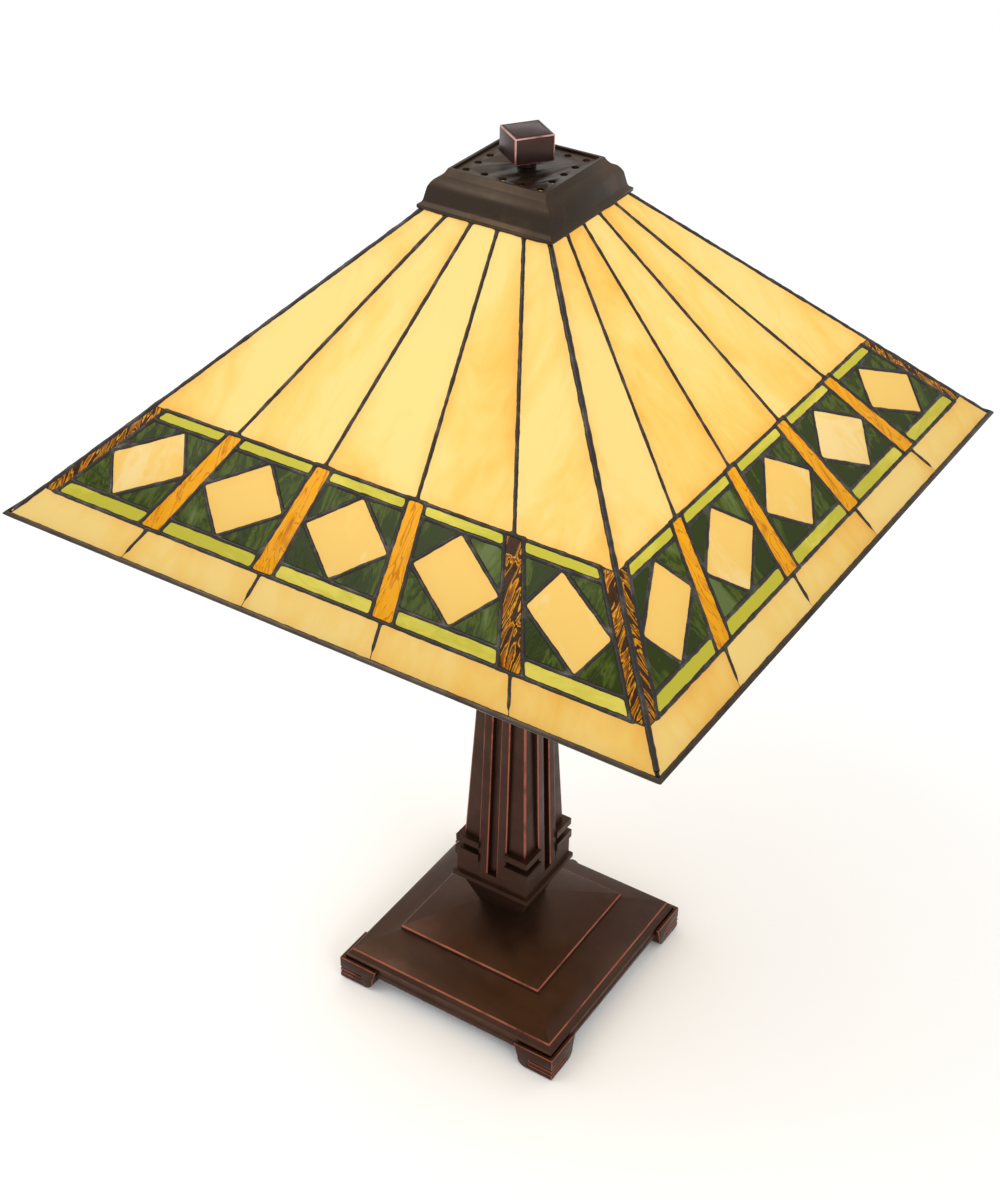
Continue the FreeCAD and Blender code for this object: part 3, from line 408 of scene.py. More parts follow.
def wisps_group():
    """Swirls of opalescent glass that run along one direction and change from pane to pane."""
    wires, given, made = group("Glass wisps", [
        ("Scale", "Float", 20.0), ("Stretch", "Vector", (1, 1, 1)), ("Swirl", "Float", 1.0),
        ("Detail", "Float", 4.0)], [("Wisps", "Float"), ("Threads", "Float")])
    tone = wires.math("MULTIPLY", wires.attribute("tone"), 7.0)
    place = wires.add("VectorMath", {0: wires.attribute("sheet", "Vector"), 1: tone}, operation="ADD")
    place = wires.add("VectorMath", {0: place.outputs[0], 1: given["Stretch"]}, operation="MULTIPLY")
    bend = wires.add("TexNoise", {"Vector": place.outputs[0], "Scale": wires.math(
        "MULTIPLY", given["Scale"], 0.5), "Detail": 2.0})
    shift = wires.add("VectorMath", {0: bend.outputs["Color"], "Scale": wires.math(
        "DIVIDE", given["Swirl"], given["Scale"])}, operation="SCALE")
    place = wires.add("VectorMath", {0: place.outputs[0], 1: shift.outputs[0]}, operation="ADD")
    wisps = wires.add("TexNoise", {"Vector": place.outputs[0], "Scale": given["Scale"],
                                   "Detail": given["Detail"], "Roughness": 0.55, "Distortion": 0.6})
    threads = wires.add("TexNoise", {"Vector": place.outputs[0], "Scale": wires.math(
        "MULTIPLY", given["Scale"], 5.0), "Detail": 3.0, "Distortion": 1.5})
    wires.plug(made["Wisps"], wires.range(wisps.outputs["Fac"], 0.3, 0.7))
    wires.plug(made["Threads"], wires.range(threads.outputs["Fac"], 0.35, 0.65))


def glow_group():
    """Light of the bulbs on the shade: brightest in the upper middle of every face."""
    wires, given, made = group("Lamp glow", [("Height", "Float", 0.48), ("Spot", "Float", 0.3),
                                             ("Glow", "Float", 1.0)], [("Light", "Float")])
    x, y, z = wires.add("SeparateXYZ", {0: wires.place()}).outputs
    across = wires.math("MINIMUM", wires.math("ABSOLUTE", x), wires.math("ABSOLUTE", y))
    side = wires.math("POWER", wires.math("DIVIDE", across, 0.055), 2.0)
    lift = wires.math("POWER", wires.math("DIVIDE", wires.math(
        "SUBTRACT", z, given["Height"]), 0.04), 2.0)
    spot = wires.math("EXPONENT", wires.math("MULTIPLY", wires.math("ADD", side, lift), -0.5))
    level = wires.range(z, 0.392, 0.45, 0.76, 1.0)
    light = wires.math("ADD", level, wires.math("MULTIPLY", spot, given["Spot"]))
    wires.plug(made["Light"], wires.math("MULTIPLY", light, given["Glow"]))


def painted_sheen_group():
    """Where a face looks up, so that a painted sheen of light from above lies on it."""
    wires, _, made = group("Upward painted sheen", [], [("Mask", "Float")])
    normal = wires.add("NewGeometry").outputs["Normal"]
    up = wires.add("SeparateXYZ", {0: normal}).outputs[2]
    wires.plug(made["Mask"], wires.range(up, 0.35, 0.95))


def place_group(wires, name, **inputs):
    node = wires.add("Group")
    node.node_tree = bpy.data.node_groups[name]
    for key, value in inputs.items():
        wires.plug(node.inputs[key], value)
    return node.outputs


# ------------------------------------------------------------ finishes

def new_finish(name, **constants):
    """A material with one shader, and its wiring; constants stay on the shader's own sockets."""
    material = FINISHES[name] = bpy.data.materials.new(name + "_finish")
    material.use_nodes = True
    wires = Wiring(material.node_tree)
    shader = material.node_tree.nodes["Principled BSDF"]
    for key, value in constants.items():
        shader.inputs[key.replace("_", " ")].default_value = value
    return material, wires, shader.inputs


def bump(wires, sockets, height, strength, distance):
    node = wires.add("Bump", {"Height": height, "Strength": strength, "Distance": distance})
    wires.plug(sockets["Normal"], node.outputs[0])


def lit_glass(name, shade, stops, scale, stretch, swirl=1.0, edge_depth=0.0, threads=0.25,
              tone_shift=0.2, roughness=0.22, dark_stops=None, detail=4.0):
    """Glass lit from behind: a colour run through wisps, glowing with the bulbs."""
    material, wires, sockets = new_finish(name, Roughness=roughness, IOR=1.5,
                                          Specular_IOR_Level=0.1)
    sockets["Emission Strength"].default_value = 1.0
    wisps = place_group(wires, "Glass wisps", Scale=scale, Stretch=stretch, Swirl=swirl,
                        Detail=detail)
    own = wires.attribute("tone")
    tone = wires.math("MULTIPLY", wires.math("SUBTRACT", own, 0.5), tone_shift)
    fine = wires.math("MULTIPLY", wires.math("SUBTRACT", wisps["Threads"], 0.5), threads)
    run = wires.math("ADD", wires.math("ADD", wisps["Wisps"], tone), fine, clamp=True)
    hue = wires.ramp(run, stops)
    if dark_stops:
        hue = wires.mix(wires.range(own, 0.58, 0.62), hue, wires.ramp(run, dark_stops))
    if edge_depth:
        near = wires.math("POWER", wires.math("SUBTRACT", 1.0, wires.attribute("rim"), clamp=True), 1.6)
        near = wires.math("MULTIPLY", near, wires.math("MULTIPLY", wisps["Wisps"], edge_depth))
        hue = wires.mix(near, hue, tuple(shade.rust))
    light = place_group(wires, "Lamp glow", Height=shade.spot_height, Spot=shade.hot_spot,
                        Glow=shade.glow)
    wires.plug(sockets["Emission Color"], wires.mix(1.0, hue, light["Light"], "MULTIPLY"))
    wires.plug(sockets["Base Color"], wires.mix(1.0, hue, (0.14, 0.14, 0.14, 1), "MULTIPLY"))
    bump(wires, sockets, wisps["Threads"], 0.12, 0.3 * MM)
    return material


def glass_finishes(shade):
    """Six kinds of sheet: opalescent, rippled or streaky."""
    lit_glass("honey_glass", shade, [
        (0.0, shade.cream), (0.25, shade.cream), (0.6, shade.honey), (1.0, shade.butterscotch)],
        13.0, (1.0, 0.45, 1.0), edge_depth=0.5, tone_shift=0.3)
    lit_glass("amber_glass", shade, [
        (0.0, shade.amber), (0.3, shade.amber), (0.36, shade.treacle), (0.42, shade.amber),
        (0.62, shade.amber), (0.67, shade.treacle), (0.72, shade.amber), (1.0, shade.treacle)],
        170.0, (1.0, 0.2, 1.0), swirl=1.2, threads=0.06, tone_shift=0.0, roughness=0.1, detail=1.0,
        dark_stops=[(0.0, shade.umber), (0.27, shade.umber), (0.31, shade.amber), (0.36, shade.umber),
                    (0.47, shade.treacle), (0.5, shade.amber), (0.55, shade.umber), (0.7, shade.umber),
                    (0.74, shade.amber), (0.79, shade.umber), (1.0, shade.treacle)])
    lit_glass("lime_glass", shade, [
        (0.0, shade.lime), (0.45, shade.lime), (1.0, shade.pear)],
        30.0, (0.4, 1.0, 1.0), tone_shift=0.6)
    lit_glass("peach_glass", shade, [
        (0.0, shade.shell), (0.35, shade.peach), (0.8, shade.peach), (1.0, shade.honey)],
        20.0, (1.0, 0.6, 1.0), edge_depth=0.25, tone_shift=0.4)
    lit_glass("green_glass", shade, [
        (0.0, shade.olive), (0.42, shade.olive), (0.56, shade.moss), (0.66, shade.olive),
        (0.85, shade.moss), (1.0, shade.mist)],
        50.0, (1.0, 0.35, 1.0), swirl=0.8, threads=0.12, tone_shift=0.45, roughness=0.12)


def metal(name, dark, light, roughness, metallic, scale=30.0, low=0.35, high=0.7, painted_sheen=None,
          painted_sheen_depth=0.5, grain=420.0, depth=0.12, rough_spread=0.16, **constants):
    """Metal with clouds of a second colour, cast grain and an uneven gloss."""
    material, wires, sockets = new_finish(name, Metallic=metallic, **constants)
    patches = place_group(wires, "Clouds", Scale=scale, Low=low, High=high)["Mask"]
    hue = wires.mix(patches, tuple(dark), tuple(light))
    # Faces that look up are mixed towards the third colour in patches: a painted sheen of light from
    # above.
    if painted_sheen is not None:
        up = place_group(wires, "Upward painted sheen")["Mask"]
        sheen_patches = place_group(wires, "Clouds", Scale=scale * 0.6, Low=0.2, High=0.75, Seed=3.0)["Mask"]
        sheen_patches = wires.math("MULTIPLY", wires.math("MULTIPLY", up, sheen_patches), painted_sheen_depth)
        hue = wires.mix(sheen_patches, hue, tuple(painted_sheen))
    wires.plug(sockets["Base Color"], hue)
    cast = place_group(wires, "Cast grain", Scale=grain)
    wires.plug(sockets["Roughness"], wires.range(cast["Mask"], 0.0, 1.0, roughness,
                                                 roughness + rough_spread))
    bump(wires, sockets, cast["Height"], depth, 0.25 * MM)
    return material


def rubbed(name, bare, patina, roughness=0.3, cover=0.45):
    """An edge that hands have rubbed bright, with patina left in places."""
    material, wires, sockets = new_finish(name, Metallic=0.9)
    left = place_group(wires, "Clouds", Scale=55.0, Low=cover, High=cover + 0.25, Seed=5.0)["Mask"]
    wires.plug(sockets["Base Color"], wires.mix(left, tuple(bare), tuple(patina)))
    cast = place_group(wires, "Cast grain", Scale=500.0)
    wires.plug(sockets["Roughness"], wires.range(cast["Mask"], 0.0, 1.0, roughness, roughness + 0.2))
    bump(wires, sockets, cast["Height"], 0.1, 0.2 * MM)
    return material


def plain(name, hue, shade, roughness, scale, depth, **constants):
    """Felt, paint, plastic or porcelain: a slightly uneven colour and its own fine surface."""
    material, wires, sockets = new_finish(name, **constants)
    patches = place_group(wires, "Clouds", Scale=scale * 0.1, Low=0.3, High=0.7)["Mask"]
    wires.plug(sockets["Base Color"], wires.mix(patches, tuple(hue), darker(hue, shade)))
    cast = place_group(wires, "Cast grain", Scale=scale)
    wires.plug(sockets["Roughness"], wires.range(cast["Mask"], 0.0, 1.0, roughness, roughness + 0.1))
    bump(wires, sockets, cast["Height"], depth, 0.2 * MM)
    return material


def frosted_bulb(shade):
    """Frosted envelope of a bulb that is on."""
    material, wires, sockets = new_finish("bulb_glass", Roughness=0.45, IOR=1.5)
    sockets["Emission Strength"].default_value = 2.2
    haze = place_group(wires, "Clouds", Scale=60.0, Low=0.1, High=0.9)["Mask"]
    warm = wires.mix(wires.math("MULTIPLY", haze, 0.3), tuple(shade.frost), (1, 1, 1, 1))
    wires.plug(sockets["Base Color"], warm)
    wires.plug(sockets["Emission Color"], warm)
    return material


# ------------------------------------------------------------ glass

def islands(mesh):
    """The mesh's separate shapes, as lists of vertices."""
    left, found = set(mesh.verts), []
    while left:
        todo, shape = [left.pop()], []
        while todo:
            vertex = todo.pop()
            shape.append(vertex)
            for edge in vertex.link_edges:
                other = edge.other_vert(vertex)
                if other in left:
                    left.remove(other)
                    todo.append(other)
        found.append(shape)
    return sorted(found, key=lambda shape: tuple(round(c, 4) for c in sum(
        (v.co for v in shape), Vector()) / len(shape)))


def outline_edges(shape, thickness):
    """Edges round the two broad faces of one pane, which is a flat plate."""
    edges = {edge for vertex in shape for edge in vertex.link_edges}
    return [edge for edge in edges if edge.calc_face_angle(0) > math.radians(50)
            and abs(edge.calc_length() - thickness) > 0.02 * MM]


def mark_panes(piece, thickness, picked=()):
    """Give every pane its tone, high for the picked ones, and return the outlines of the panes."""
    mesh = edit(piece)
    tone = mesh.verts.layers.float.new("tone")
    number = mesh.verts.layers.int.new("pane")
    outlines = []
    for index, shape in enumerate(islands(mesh)):
        centre = sum((v.co for v in shape), Vector()) / len(shape)
        value = abs(noise.cell(centre * 1700 + Vector((3.1, 7.7, 1.3)))) % 1.0
        if picked:
            value = (0.85 if index in picked else 0.2) + 0.1 * value
        for vertex in shape:
            vertex[tone] = value
            vertex[number] = index
        outlines.append([(edge.verts[0].co.copy(), edge.verts[1].co.copy())
                         for edge in outline_edges(shape, thickness)])
    done(piece)
    return outlines


def mark_rims(piece, outlines, reach):
    """Set the attribute that is 0 at a pane's outline and 1 well inside it."""
    mesh = piece.data
    count = len(mesh.vertices)
    points = np.empty(count * 3)
    mesh.vertices.foreach_get("co", points)
    points = points.reshape(-1, 3)
    number = np.empty(count, np.int32)
    mesh.attributes["pane"].data.foreach_get("value", number)
    rim = np.ones(count)
    for index, segments in enumerate(outlines):
        mine = np.flatnonzero(number == index)
        for a, b in segments:
            a, b = np.array(a), np.array(b)
            along = np.clip((points[mine] - a) @ (b - a) / ((b - a) @ (b - a)), 0, 1)
            gap = np.linalg.norm(points[mine] - a - along[:, None] * (b - a), axis=1) / reach
            rim[mine] = np.minimum(rim[mine], gap)
    layer = mesh.attributes.new("rim", "FLOAT", "POINT")
    layer.data.foreach_set("value", rim)
    mesh.attributes.remove(mesh.attributes["pane"])


def pane_thickness(piece):
    """Thickness of flat panes: the length of their shortest edges."""
    return min((v.co - w.co).length for v, w in (
        (piece.data.vertices[e.vertices[0]], piece.data.vertices[e.vertices[1]])
        for e in piece.data.edges))


def lay_sheet(piece, face):
    """Store each point's place on its flat sheet: across the face, up the slope and through it."""
    normal, level = face_plane(face)
    across = Matrix.Rotation(math.radians(90 * FACES.index(face)), 3, "Z") @ Vector((1, 0, 0))
    upwards = normal.cross(across)
    layer = piece.data.attributes.new("sheet", "FLOAT_VECTOR", "POINT")
    for vertex, place in zip(piece.data.vertices, layer.data):
        place.vector = (vertex.co.dot(across), vertex.co.dot(upwards), vertex.co.dot(normal) - level)


def sheet_glass(kind, face, cuts, depth, size):
    """Panes of one kind in one face, cut from sheet that is a little wavy."""
    piece = cad_copy(f"{kind}_{face}", f"{kind}_{face}_panes")
    thickness = pane_thickness(piece)
    outlines = mark_panes(piece, thickness, DARK_BARS[face] if kind == "amber_bars" else ())
    edit(piece)
    choose(piece, "EDGE", lambda e: abs(e.calc_length() - thickness) > 0.02 * MM)
    bpy.ops.mesh.subdivide(number_cuts=cuts)
    done(piece)
    mark_rims(piece, outlines, GLASS_RIM)
    lay_sheet(piece, face)
    roughen(piece, depth, size)
    return smooth(piece, 40)


class LAMP_OT_glass(bpy.types.Operator):
    """Cut the shade's panes from wavy sheet glass and light them from behind"""
    bl_idname = "lamp.glass"
    bl_label = "Glass panes"
    cuts = {"field_glass": 22, "skirt_glass": 12, "amber_bars": 20, "lime_strips": 10,
            "diamond_glass": 12, "green_corners": 6}

    def execute(self, context):
        shade = context.scene.lamp_glass
        glass_finishes(shade)
        for kind in FIELD_KINDS + BAND_KINDS:
            depth, size = (shade.ripple, 0.004) if kind == "amber_bars" else (shade.waviness, 0.012)
            for face in FACES:
                piece = sheet_glass(kind, face, self.cuts[kind], depth, size)
                slot = GLASS_OF[kind]
                coat(piece, slot)
                finish(piece, "shade", [f"{kind}_{face}"])
        return {"FINISHED"}


# ------------------------------------------------------------ solder

def face_plane(face):
    """Outward normal of one face of the shade, and the glass's outer surface along it."""
    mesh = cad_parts["field_glass_" + face].data
    turn = Matrix.Rotation(math.radians(90 * FACES.index(face)), 3, "Z")
    outwards = turn @ Vector((0, -1, 0))
    broad = max(mesh.polygons, key=lambda p: p.area if p.normal.dot(outwards) > 0 and p.normal.z > 0
                else 0)
    return broad.normal.copy(), broad.normal.dot(broad.center)


def on_corner(point, reach=0.3 * MM):
    """Whether a point lies in the plane of a hip, give or take the reach."""
    return abs(abs(point.x) - abs(point.y)) < reach


def wander(point, amount):
    return 1.0 + amount * noise.noise(point / BEAD_WANDER)


def melted_line(paths, radius, settings, name, swell=0.0, thin=1.0):
    """A bead of solder along each path: it wanders, swells at corners, and thins at hips and rim."""
    rim_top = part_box("rim_channel")[1].z + RIM_REACH
    curve = bpy.data.curves.new(name, "CURVE")
    curve.dimensions = "3D"
    for points, closed, corners in paths:
        spline = curve.splines.new("POLY")
        spline.points.add(len(points) - 1)
        spline.use_cyclic_u = closed
        for index, (place, point) in enumerate(zip(points, spline.points)):
            point.co = (*place, 1)
            point.radius = wander(place, settings.unevenness) * (
                thin if on_corner(place, NEAR_HIP) or place.z < rim_top
                else 1 + swell if index in corners else 1)
    curve.bevel_depth = radius
    curve.bevel_resolution = 2
    curve.use_fill_caps = True
    piece = bpy.data.objects.new(name, curve)
    bpy.context.scene.collection.objects.link(piece)
    only(piece)
    bpy.ops.object.convert(target="MESH")
    return bpy.context.object


def divided(a, b, step):
    count = max(1, round((b - a).length / step))
    return [a.lerp(b, i / count) for i in range(count)]


def outline_loops(node, normal, level, thickness):
    """Each pane's outline on the outer surface, sunk to the glass's middle, as a closed path."""
    piece = cad_copy(node, "outline")
    mesh = bmesh.new()
    mesh.from_mesh(piece.data)
    paths = []
    for shape in islands(mesh):
        outer = {v for v in shape if abs(v.co.dot(normal) - level) < 0.2 * thickness}
        first = min(outer, key=lambda v: tuple(round(c, 5) for c in v.co))
        loop, before, here = [first], None, first
        while True:
            others = [e.other_vert(here) for e in here.link_edges]
            nexts = [v for v in others if v in outer and v is not before]
            step = nexts[0] if before else sorted(nexts, key=lambda v: tuple(v.co))[0]
            if step is first:
                break
            loop.append(step)
            before, here = here, step
        centre = sum((v.co for v in loop), Vector()) / len(loop)
        corners = [v.co + (v.co - centre).normalized() * 0.4 * MM - normal * thickness / 2
                   for v in loop]
        points, marks = [], set()
        for a, b in zip(corners, corners[1:] + corners[:1]):
            marks.add(len(points))
            points += divided(a, b, BEAD_STEP)
        paths.append((points, True, marks))
    mesh.free()
    bpy.data.objects.remove(piece)
    return paths


def join(pieces):
    only(pieces[0])
    for piece in pieces[1:]:
        piece.select_set(True)
    bpy.ops.object.join()
    return bpy.context.object


def melt(piece, grain, passes=4):
    """Fuse overlapping beads into one skin and let it flow smooth."""
    only(piece)
    piece.data.remesh_voxel_size = grain
    piece.data.remesh_voxel_adaptivity = 0.0
    bpy.ops.object.voxel_remesh()
    apply_modifier(piece, "SMOOTH", factor=0.5, iterations=passes)
    return piece


def solder_face(face, settings):
    """All the beads of one face, standing proud of the glass outside and inside."""
    normal, level = face_plane(face)
    sample = cad_copy("skirt_glass_" + face, "sample")
    thickness = pane_thickness(sample)
    bpy.data.objects.remove(sample)
    half_height = thickness / 2 + settings.bead_height
    beads = []
    for kinds, width in ((FIELD_KINDS, settings.field_width), (BAND_KINDS, settings.band_width)):
        paths = []
        for kind in kinds:
            paths += outline_loops(f"{kind}_{face}", normal, level, thickness)
        bead = melted_line(paths, width / 2, settings, "bead", settings.blob, settings.hip_share)
        stretch = half_height / (width / 2)
        depth = level - thickness / 2
        flatten = Matrix.Translation(normal * depth) @ Matrix.Scale(stretch, 4, normal) @ \
            Matrix.Translation(-normal * depth)
        bead.data.transform(flatten)
        beads.append(bead)
    piece = melt(join(beads), settings.grain)
    piece.name = piece.data.name = f"solder_{face}"
    roughen(piece, 0.5 * MM, 0.005)
    return smooth(piece, 180)


class LAMP_OT_solder(bpy.types.Operator):
    """Run solder along every seam of the four faces"""
    bl_idname = "lamp.solder"
    bl_label = "Solder lines"

    def execute(self, context):
        settings = context.scene.lamp_solder
        metal("solder", settings.skin, settings.dull, 0.3, 0.75, scale=90.0, low=0.5, high=0.8,
              grain=900.0, depth=0.15, rough_spread=0.2)
        for face in FACES:
            piece = solder_face(face, settings)
            coat(piece, "solder")
            finish(piece, "shade", ["solder_lattice_" + face])
        return {"FINISHED"}


def hip_line():
    """Ends of the shade's outer hip between the front and right faces, at the rim and the cap."""
    normal, level = face_plane("front")
    low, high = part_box("hip_solder")
    points = []
    for z in (low.z, high.z):
        half = (level - normal.z * z) / -normal.y
        points.append(Vector((half, -half, z)))
    return points


def quarter_turns(point):
    return [Matrix.Rotation(math.radians(90 * k), 3, "Z") @ point for k in range(4)]


class LAMP_OT_hips(bpy.types.Operator):
    """Lay a heavy bead of solder over each hip of the shade"""
    bl_idname = "lamp.hips"
    bl_label = "Hip beads"

    def execute(self, context):
        settings = context.scene.lamp_solder
        low, high = hip_line()
        sink = (Vector((-1, 1, 0)).normalized() + Vector((0, 0, -1))).normalized()
        paths = []
        for a, b in zip(quarter_turns(low + sink * settings.hip_sink),
                        quarter_turns(high + sink * settings.hip_sink)):
            points = divided(a, b, BEAD_STEP) + [b]
            swollen = {i for i, point in enumerate(points) if noise.noise(point / 0.02) > 0.32}
            paths.append((points, False, swollen))
        piece = melt(melted_line(paths, settings.hip_radius, settings, "hip_beads", 0.12),
                     settings.grain, 3)
        roughen(piece, 0.7 * MM, 0.007)
        smooth(piece, 180)
        coat(piece, "solder")
        finish(piece, "shade", ["hip_solder"])
        return {"FINISHED"}


def rim_blob_places():
    """Where seams between the front face's skirt panes meet the channel, across the face."""
    piece = cad_copy("skirt_glass_front", "sample")
    mesh = bmesh.new()
    mesh.from_mesh(piece.data)
    _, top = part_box("rim_channel")
    feet = [[v.co.x for v in shape if v.co.z < top.z] for shape in islands(mesh)]
    spans = sorted((min(foot), max(foot)) for foot in feet)
    mesh.free()
    bpy.data.objects.remove(piece)
    return [(a[1] + b[0]) / 2 for a, b in zip(spans, spans[1:])]


class LAMP_OT_rim(bpy.types.Operator):
    """Fold the channel round the shade's lower edge and solder it on"""
    bl_idname = "lamp.rim"
    bl_label = "Rim channel"

    def execute(self, context):
        settings = context.scene.lamp_solder
        metal("came", settings.came, settings.came_dark, 0.3, 0.85, scale=60.0, low=0.4,
              high=0.75, grain=700.0, depth=0.12)
        channel = cad_copy("rim_channel", "rim_came")
        coat(channel, "came")
        ease(channel, 0.35 * MM, 2)
        smooth(channel, 40)
        finish(channel, "shade", ["rim_channel"])

        normal, level = face_plane("front")
        channel_top, glass_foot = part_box("rim_channel")[1].z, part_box("skirt_glass_front")[0].z
        z = (channel_top + glass_foot) / 2 + 0.3 * MM
        half = (level - normal.z * z) / -normal.y + 0.2 * MM
        places = rim_blob_places()
        points, marks = [], set()
        corners = quarter_turns(Vector((half, -half, z)))
        for k, (a, b) in enumerate(zip(corners[-1:] + corners[:-1], corners)):
            marks.add(len(points))
            run = divided(a, b, BEAD_STEP)
            for x in places:
                at = Matrix.Rotation(math.radians(90 * k), 3, "Z") @ Vector((x, -half, z))
                nearest = min(range(len(run)), key=lambda i: (run[i] - at).length)
                marks.add(len(points) + nearest)
            points += run
        piece = melted_line([(points, True, marks)], settings.rim_bead, settings, "rim_solder", 0.5)
        melt(piece, settings.grain * 0.6, 3)
        roughen(piece, 0.5 * MM, 0.005)
        smooth(piece, 180)
        coat(piece, "solder")
        finish(piece, "shade")
        return {"FINISHED"}


# ------------------------------------------------------------ cap and finial

class LAMP_OT_cap(bpy.types.Operator):
    """Raise the vented heat cap and solder it to the shade"""
    bl_idname = "lamp.cap"
    bl_label = "Heat cap"

    def execute(self, context):
        colours = context.scene.lamp_metal
        settings = context.scene.lamp_solder
        # The cap's golden clouds also lie on its faces that look up as a painted sheen.
        metal("cap_bronze", colours.cap, colours.cap_gold, 0.3, 0.85, scale=26.0, low=0.5,
              high=0.9, depth=0.1, painted_sheen=colours.cap_gold, painted_sheen_depth=0.2)
        rubbed("cap_rubbed", colours.cap_gold, colours.cap, 0.28, 0.3)
        cap = cad_copy("heat_cap", "cap_shell")
        coat(cap, "cap_bronze", "cap_rubbed")
        ease(cap, 0.5 * MM, 2, slot=1)
        smooth(cap, 32)
        finish(cap, "shade", ["heat_cap"])

        low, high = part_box("heat_cap")
        corners = quarter_turns(Vector((high.x - 0.6 * MM, low.y + 0.6 * MM, low.z + 0.2 * MM)))
        points, marks = [], set()
        for a, b in zip(corners, corners[1:] + corners[:1]):
            marks.add(len(points))
            points += divided(a, b, BEAD_STEP)
        marks |= {i for i, p in enumerate(points) if noise.noise(p / 0.012) > 0.3}
        piece = melted_line([(points, True, marks)], 0.9 * MM, settings, "cap_solder", 0.4)
        melt(piece, settings.grain * 0.7, 2)
        smooth(piece, 180)
        coat(piece, "cap_bronze")
        finish(piece, "shade")
        return {"FINISHED"}


class LAMP_OT_finial(bpy.types.Operator):
    """Cut the square finial with eased edges and a slightly pillowed top"""
    bl_idname = "lamp.finial"
    bl_label = "Finial"

    def execute(self, context):
        colours = context.scene.lamp_metal
        low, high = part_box("finial")
        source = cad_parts["finial"].data
        side = max((p for p in source.polygons if abs(p.normal.z) < 0.01), key=lambda p: p.area).normal
        turn = math.atan2(side.y, side.x)
        reach = (high.x - low.x) / 2
        turned = abs(math.cos(turn)) + abs(math.sin(turn))
        half = reach / turned
        height = high.z - low.z
        deselect()
        bpy.ops.mesh.primitive_cube_add(size=2 * half, location=(0, 0, (low.z + high.z) / 2),
                                        rotation=(0, 0, turn))
        bpy.context.object.scale.z = height / (2 * half)
        piece = start("finial_block")
        edit(piece)
        choose(piece, "FACE", lambda f: f.normal.z > 0.9)
        bpy.ops.mesh.inset(thickness=1.6 * MM, depth=-0.5 * MM)
        bpy.ops.mesh.inset(thickness=0.8 * MM, depth=0.5 * MM)
        choose(piece, "FACE", lambda f: f.normal.z < -0.9)
        bpy.ops.mesh.inset(thickness=half - 5.2 * MM)
        bpy.ops.mesh.inset(thickness=0.1 * MM, depth=-height * 0.7)
        done(piece)
        rubbed("finial_rubbed", tint(196, 150, 140), colours.plum, 0.3, 0.5)
        coat(piece, "finial_bronze", "finial_rubbed")
        ease(piece, 0.8 * MM, 3, least=50, slot=1)
        smooth(piece, 35)
        finish(piece, "finial", ["finial"])
        # The brass insert gets the finial's dark bronze: painted shade in the gap under the finial.
        carry(["finial_insert"], FINISHES["finial_bronze"])
        return {"FINISHED"}


# ------------------------------------------------------------ spider, rods and lights

def eased_part(node, name, body, slot, width, segments=2, rub=None):
    """The frame's node with its outer edges rounded over."""
    piece = cad_copy(node, name)
    coat(piece, slot, *([rub] if rub else []))
    ease(piece, width, segments, least=30, slot=1 if rub else -1)
    smooth(piece, 32)
    return finish(piece, body, [node])


class LAMP_OT_shade_frame(bpy.types.Operator):
    """Make the spider that hangs the shade, and the rod that carries it"""
    bl_idname = "lamp.shade_frame"
    bl_label = "Spider and rods"

    def execute(self, context):
        eased_part("shade_spider", "spider", "shade", "brass", 0.4 * MM)
        eased_part("riser_rod", "riser", "stand", "brass", 0.3 * MM)
        eased_part("lamp_pipe", "pipe", "stand", "brass", 0.3 * MM)
        eased_part("column_nut", "top_nut", "stand", "brass", 0.3 * MM)
        eased_part("base_nut", "bottom_nut", "stand", "brass", 0.3 * MM)
        return {"FINISHED"}


class LAMP_OT_cluster(bpy.types.Operator):
    """Make the arm and the two sockets"""
    bl_idname = "lamp.cluster"
    bl_label = "Sockets"

    def execute(self, context):
        eased_part("cluster_body", "cluster_arm", "stand", "cast_bronze", 0.8 * MM, 3,
                   rub="copper_rubbed")
        eased_part("socket_caps", "socket_cups", "stand", "aged_brass", 0.3 * MM)
        eased_part("socket_shells", "socket_bodies", "stand", "aged_brass", 0.3 * MM)
        carry(["socket_insulators"], FINISHES["porcelain"])
        carry(["screw_shells", "contact_tabs"], FINISHES["brass"])
        return {"FINISHED"}


class LAMP_OT_bulbs(bpy.types.Operator):
    """Make the frosted bulbs and their screw bases"""
    bl_idname = "lamp.bulbs"
    bl_label = "Bulbs"

    def execute(self, context):
        bulb = frosted_bulb(context.scene.lamp_glass)
        for side in SIDES:
            carry(["bulb_glass_" + side], bulb)
            carry(["bulb_base_" + side], FINISHES["nickel"])
        return {"FINISHED"}


class LAMP_OT_chains(bpy.types.Operator):
    """Make the ball chains with their bell pulls"""
    bl_idname = "lamp.chains"
    bl_label = "Pull chains"

    def execute(self, context):
        carry(["pull_chain_" + side for side in SIDES], FINISHES["aged_brass"])
        return {"FINISHED"}


# ------------------------------------------------------------ column, base and feet

class LAMP_OT_column(bpy.types.Operator):
    """Cast the panelled column and its collar, and rub their edges to copper"""
    bl_idname = "lamp.column"
    bl_label = "Column"

    def execute(self, context):
        width = context.scene.lamp_metal.edge_width
        column = cad_copy("column", "column_cast")
        coat(column, "cast_bronze", "copper_rubbed")
        ease(column, 1.1 * width, 3, slot=1,
             where=lambda e: on_corner(middle(e)) and e.calc_length() > 40 * MM)
        ease(column, 0.8 * width, 3, slot=1,
             where=lambda e: e.calc_length() > 60 * MM and not on_corner(middle(e), 3 * MM))
        ease(column, 0.5 * width, 3, least=40, slot=1)
        smooth(column, 32)
        finish(column, "stand", ["column"])
        eased_part("column_collar", "collar_cast", "stand", "cast_bronze", 0.7 * width, 3,
                   rub="copper_rubbed")
        return {"FINISHED"}


